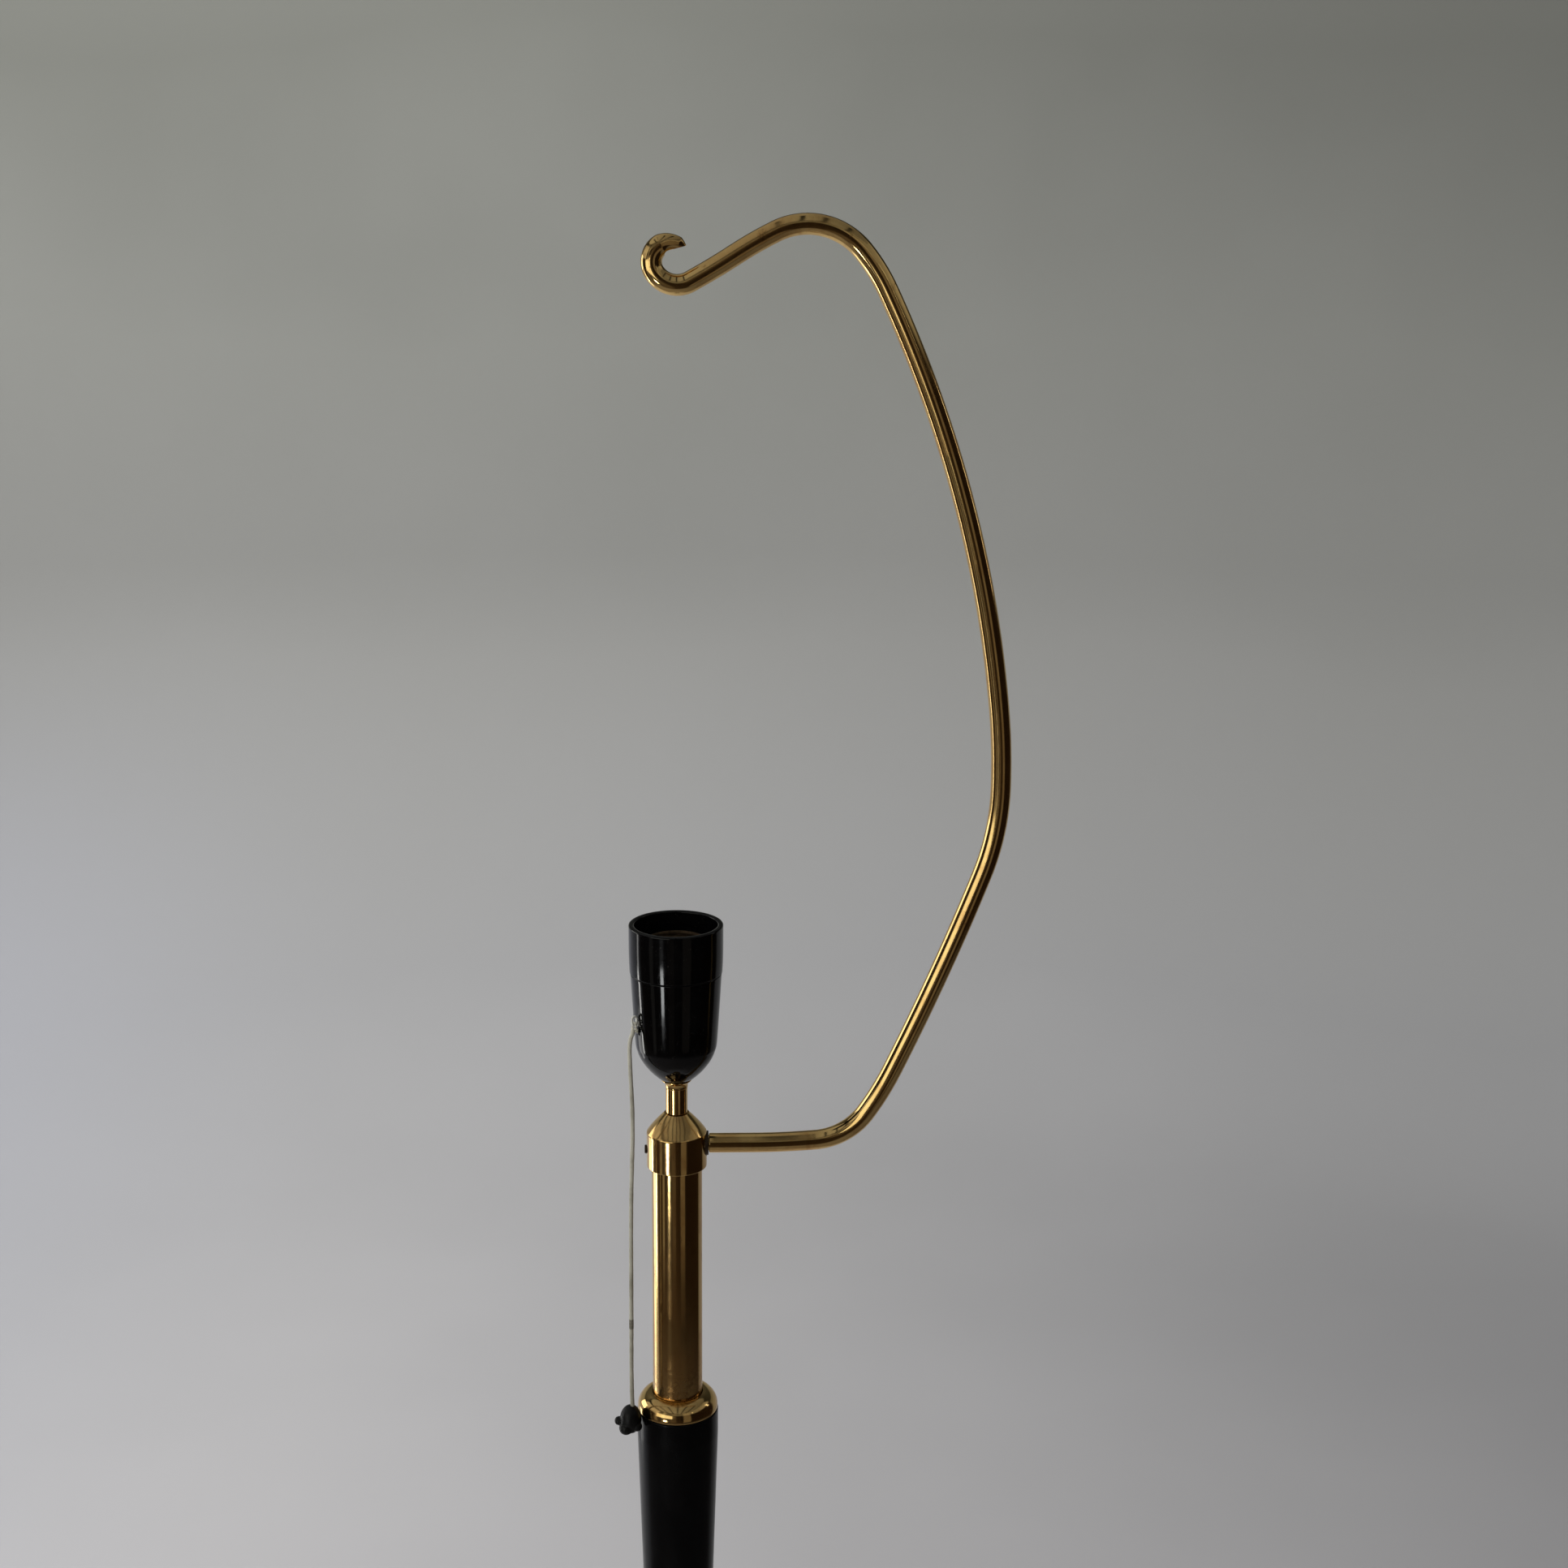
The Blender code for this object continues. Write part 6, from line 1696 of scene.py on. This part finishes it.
PANELS = (
    ("strip_left", -107.0, 1.5, 0.13, 0.28, 0.62, 10.0, (1.0, 0.99, 0.95)),
    ("strip_left_top", -105.0, 1.5, 0.14, 0.62, 1.10, 3.0, (1.0, 0.99, 0.95)),
    ("glow_left", -122.0, 1.5, 0.46, 0.02, 0.52, 1.7, (1.0, 0.99, 0.95)),
    ("window_left", -117.0, 2.6, 1.15, 0.90, 2.00, 1.9, (1.0, 0.99, 0.95)),
    ("sky_left", -90.0, 2.9, 4.2, 1.85, 3.40, 0.40, (1.0, 0.99, 0.95)),
    ("window_near", -34.5, 1.5, 0.20, 0.425, 0.62, 16.0, (0.97, 1.0, 1.0)),
    ("window_near_top", -34.5, 1.5, 0.20, 0.62, 0.85, 0.28, (0.97, 1.0, 1.0)),
    ("window_wide", -38.0, 1.45, 1.25, 1.02, 1.60, 1.25, (1.0, 1.0, 0.90)),
    ("pane_near", -41.0, 1.5, 0.25, 0.85, 2.20, 0.24, (1.0, 0.96, 0.86)),
    ("panel_left", -62.0, 1.5, 0.26, 0.30, 2.20, 0.17, (1.0, 0.98, 0.88)),
    ("panel_centre", -12.0, 1.5, 0.42, 0.30, 2.20, 0.05, (1.0, 0.86, 0.70)),
    ("panel_right", 27.0, 1.5, 0.55, 0.30, 2.20, 0.125, (1.0, 0.88, 0.72)),
    ("pane_right", 47.0, 1.5, 0.05, 1.78, 2.10, 1.2, (1.0, 0.96, 0.80)),
    ("strip_right", 103.0, 1.5, 0.14, 1.40, 1.85, 1.6, (1.0, 0.96, 0.90)),
)

# The panels that stand so low that they would light a hard patch of the floor

LOW_PANELS = ("strip_left", "glow_left")

# Wide lights that the lamp doesn't mirror: place, target, width and height

BACK_LIGHT = ((-0.5, 1.7, 3.9), (-0.2, 2.4, 0.4), 3.0, 1.6)
KEY_LIGHT = ((-1.3, -1.7, 2.7), (0.0, 0.0, 1.2), 1.1, 1.1)


def keep_off(light, item):
    """Keeps a light off one object."""
    spared = bpy.data.collections.new(light.name + "_spares")
    spared.objects.link(item)
    spared.collection_objects[0].light_linking.link_state = "EXCLUDE"
    light.light_linking.receiver_collection = spared


def make_lights(floor):
    look = sizes("lamp_studio")
    for name, degrees, distance, width, low, high, glow, tone in PANELS:
        middle = (low + high) / 2
        place = ring_place(degrees, distance, middle)
        watts = glow * math.pi * width * (high - low)
        panel = make_light(name, place, (0.0, 0.0, middle), width, high - low, watts, tone)
        if name in LOW_PANELS:
            keep_off(panel, floor)
    back = make_light("back_light", *BACK_LIGHT, look.back, (1.0, 1.0, 1.0))
    back.visible_glossy = False
    key = make_light("key_light", *KEY_LIGHT, look.key, (1.0, 0.99, 0.97))
    key.visible_glossy = False


# The middles of the beams from left to right, half their width, their ends along Y and their under and
# upper faces

BEAM_MIDDLES = (-2.55, -1.55, -0.72, 0.0, 0.62, 1.45)
BEAM_HALF = 0.07
BEAM_ENDS = (-3.2, 0.2)
BEAM_FACES = (3.50, 3.54)
BOX_FACES = ((0, 2, 6, 4), (1, 5, 7, 3), (0, 1, 3, 2), (4, 6, 7, 5), (0, 4, 5, 1), (2, 3, 7, 6))


def make_beams():
    """Dark beams under the ceiling, over the lamp and in front of it."""
    look = sizes("lamp_studio")
    points = []
    faces = []
    for middle in BEAM_MIDDLES:
        base = len(points)
        sides = (middle - BEAM_HALF, middle + BEAM_HALF)
        points += [(x, y, z) for x in sides for y in BEAM_ENDS for z in BEAM_FACES]
        faces += [[base + corner for corner in face] for face in BOX_FACES]
    beams = make_mesh("studio_beams", points, faces)
    paint = Finish("beam_paint")
    beams.data.materials.append(paint.use(Base_Color=look.beam, Roughness=0.8))


def make_world():
    """A sky that is lighter on the left."""
    look = sizes("lamp_studio")
    world = bpy.data.worlds.new("studio_world")
    world.use_nodes = True
    sky = Graph(world.node_tree)
    x, _, _ = sky.split(sky.node("ShaderNodeTexCoord", {}, {}, "Generated"))
    tone = sky.mix(sky.ramp(x, -0.9, 0.6), look.world, look.world_right)
    background = sky.tree.nodes["Background"]
    join(sky.tree, background.inputs["Color"], tone)
    join(sky.tree, background.inputs["Strength"], 1.0)
    bpy.context.scene.world = world


SENSOR_WIDTH = 36.0  # in millimetres, as the lens
CLIP_START = 0.01


def make_camera():
    look = sizes("lamp_studio")
    level = Vector((math.sin(look.heading), math.cos(look.heading), 0.0))
    right = Vector((math.cos(look.heading), -math.sin(look.heading), 0.0))
    up = Vector((0.0, 0.0, 1.0))
    forward = level * math.cos(look.pitch) - up * math.sin(look.pitch)
    over = level * math.sin(look.pitch) + up * math.cos(look.pitch)
    tilted_right = (right + over * look.roll).normalized()
    tilted_over = (over - right * look.roll).normalized()
    data = bpy.data.cameras.new("photo_camera")
    data.sensor_width = SENSOR_WIDTH
    data.lens = SENSOR_WIDTH * look.focal_pixels / IMAGE_SIDE
    data.clip_start = CLIP_START
    camera = bpy.data.objects.new("photo_camera", data)
    bpy.context.scene.collection.objects.link(camera)
    matrix = camera.matrix_world.copy()
    for row in range(3):
        matrix[row][0] = tilted_right[row]
        matrix[row][1] = tilted_over[row]
        matrix[row][2] = -forward[row]
    matrix.translation = level * -look.eye_distance + right * look.eye_side + up * look.eye_height
    camera.matrix_world = matrix
    bpy.context.scene.camera = camera


class FLOORLAMP_OT_studio(bpy.types.Operator):
    """Set the floor, the wall, the beams, the lights, the sky and the camera"""

    bl_idname = "floor_lamp.set_studio"
    bl_label = "Studio"

    def execute(self, context):
        floor = make_sweep()
        make_beams()
        make_lights(floor)
        make_world()
        make_camera()
        context.scene.view_settings.view_transform = "Standard"
        return {"FINISHED"}


class FLOORLAMP_PT_steps(bpy.types.Panel):
    """The steps that finish the lamp, in order"""

    bl_idname = "FLOORLAMP_PT_steps"
    bl_label = "Floor lamp"
    bl_space_type = "VIEW_3D"
    bl_region_type = "UI"
    bl_category = "Floor lamp"

    def draw(self, context):
        for step in STEPS:
            self.layout.operator(step.bl_idname)


GROUPS = {
    "lamp_base_sizes": LampBaseSizes,
    "lamp_column_sizes": LampColumnSizes,
    "lamp_head_sizes": LampHeadSizes,
    "lamp_arm_sizes": LampArmSizes,
    "lamp_holder_sizes": LampHolderSizes,
    "lamp_pull_sizes": LampPullSizes,
    "lamp_colours": LampColours,
    "lamp_studio": LampStudio,
}
STEPS = (FLOORLAMP_OT_base, FLOORLAMP_OT_column, FLOORLAMP_OT_head, FLOORLAMP_OT_arm, FLOORLAMP_OT_holder,
         FLOORLAMP_OT_pull, FLOORLAMP_OT_studio)


def register():
    for kind in (*GROUPS.values(), *STEPS, FLOORLAMP_PT_steps):
        bpy.utils.register_class(kind)
    for name, kind in GROUPS.items():
        setattr(bpy.types.Scene, name, PointerProperty(type=kind))


def unregister():
    for name in GROUPS:
        delattr(bpy.types.Scene, name)
    for kind in reversed((*GROUPS.values(), *STEPS, FLOORLAMP_PT_steps)):
        bpy.utils.unregister_class(kind)


def main():
    register()
    for name in list(bpy.data.objects.keys()):
        if bpy.data.objects[name].type in ("CAMERA", "LIGHT"):
            bpy.data.objects.remove(bpy.data.objects[name], do_unlink=True)
    bpy.ops.floor_lamp.make_base()
    bpy.ops.floor_lamp.make_column()
    bpy.ops.floor_lamp.make_head()
    bpy.ops.floor_lamp.make_arm()
    bpy.ops.floor_lamp.make_holder()
    bpy.ops.floor_lamp.make_pull()
    bpy.ops.floor_lamp.set_studio()


if __name__ == "__main__":
    main()
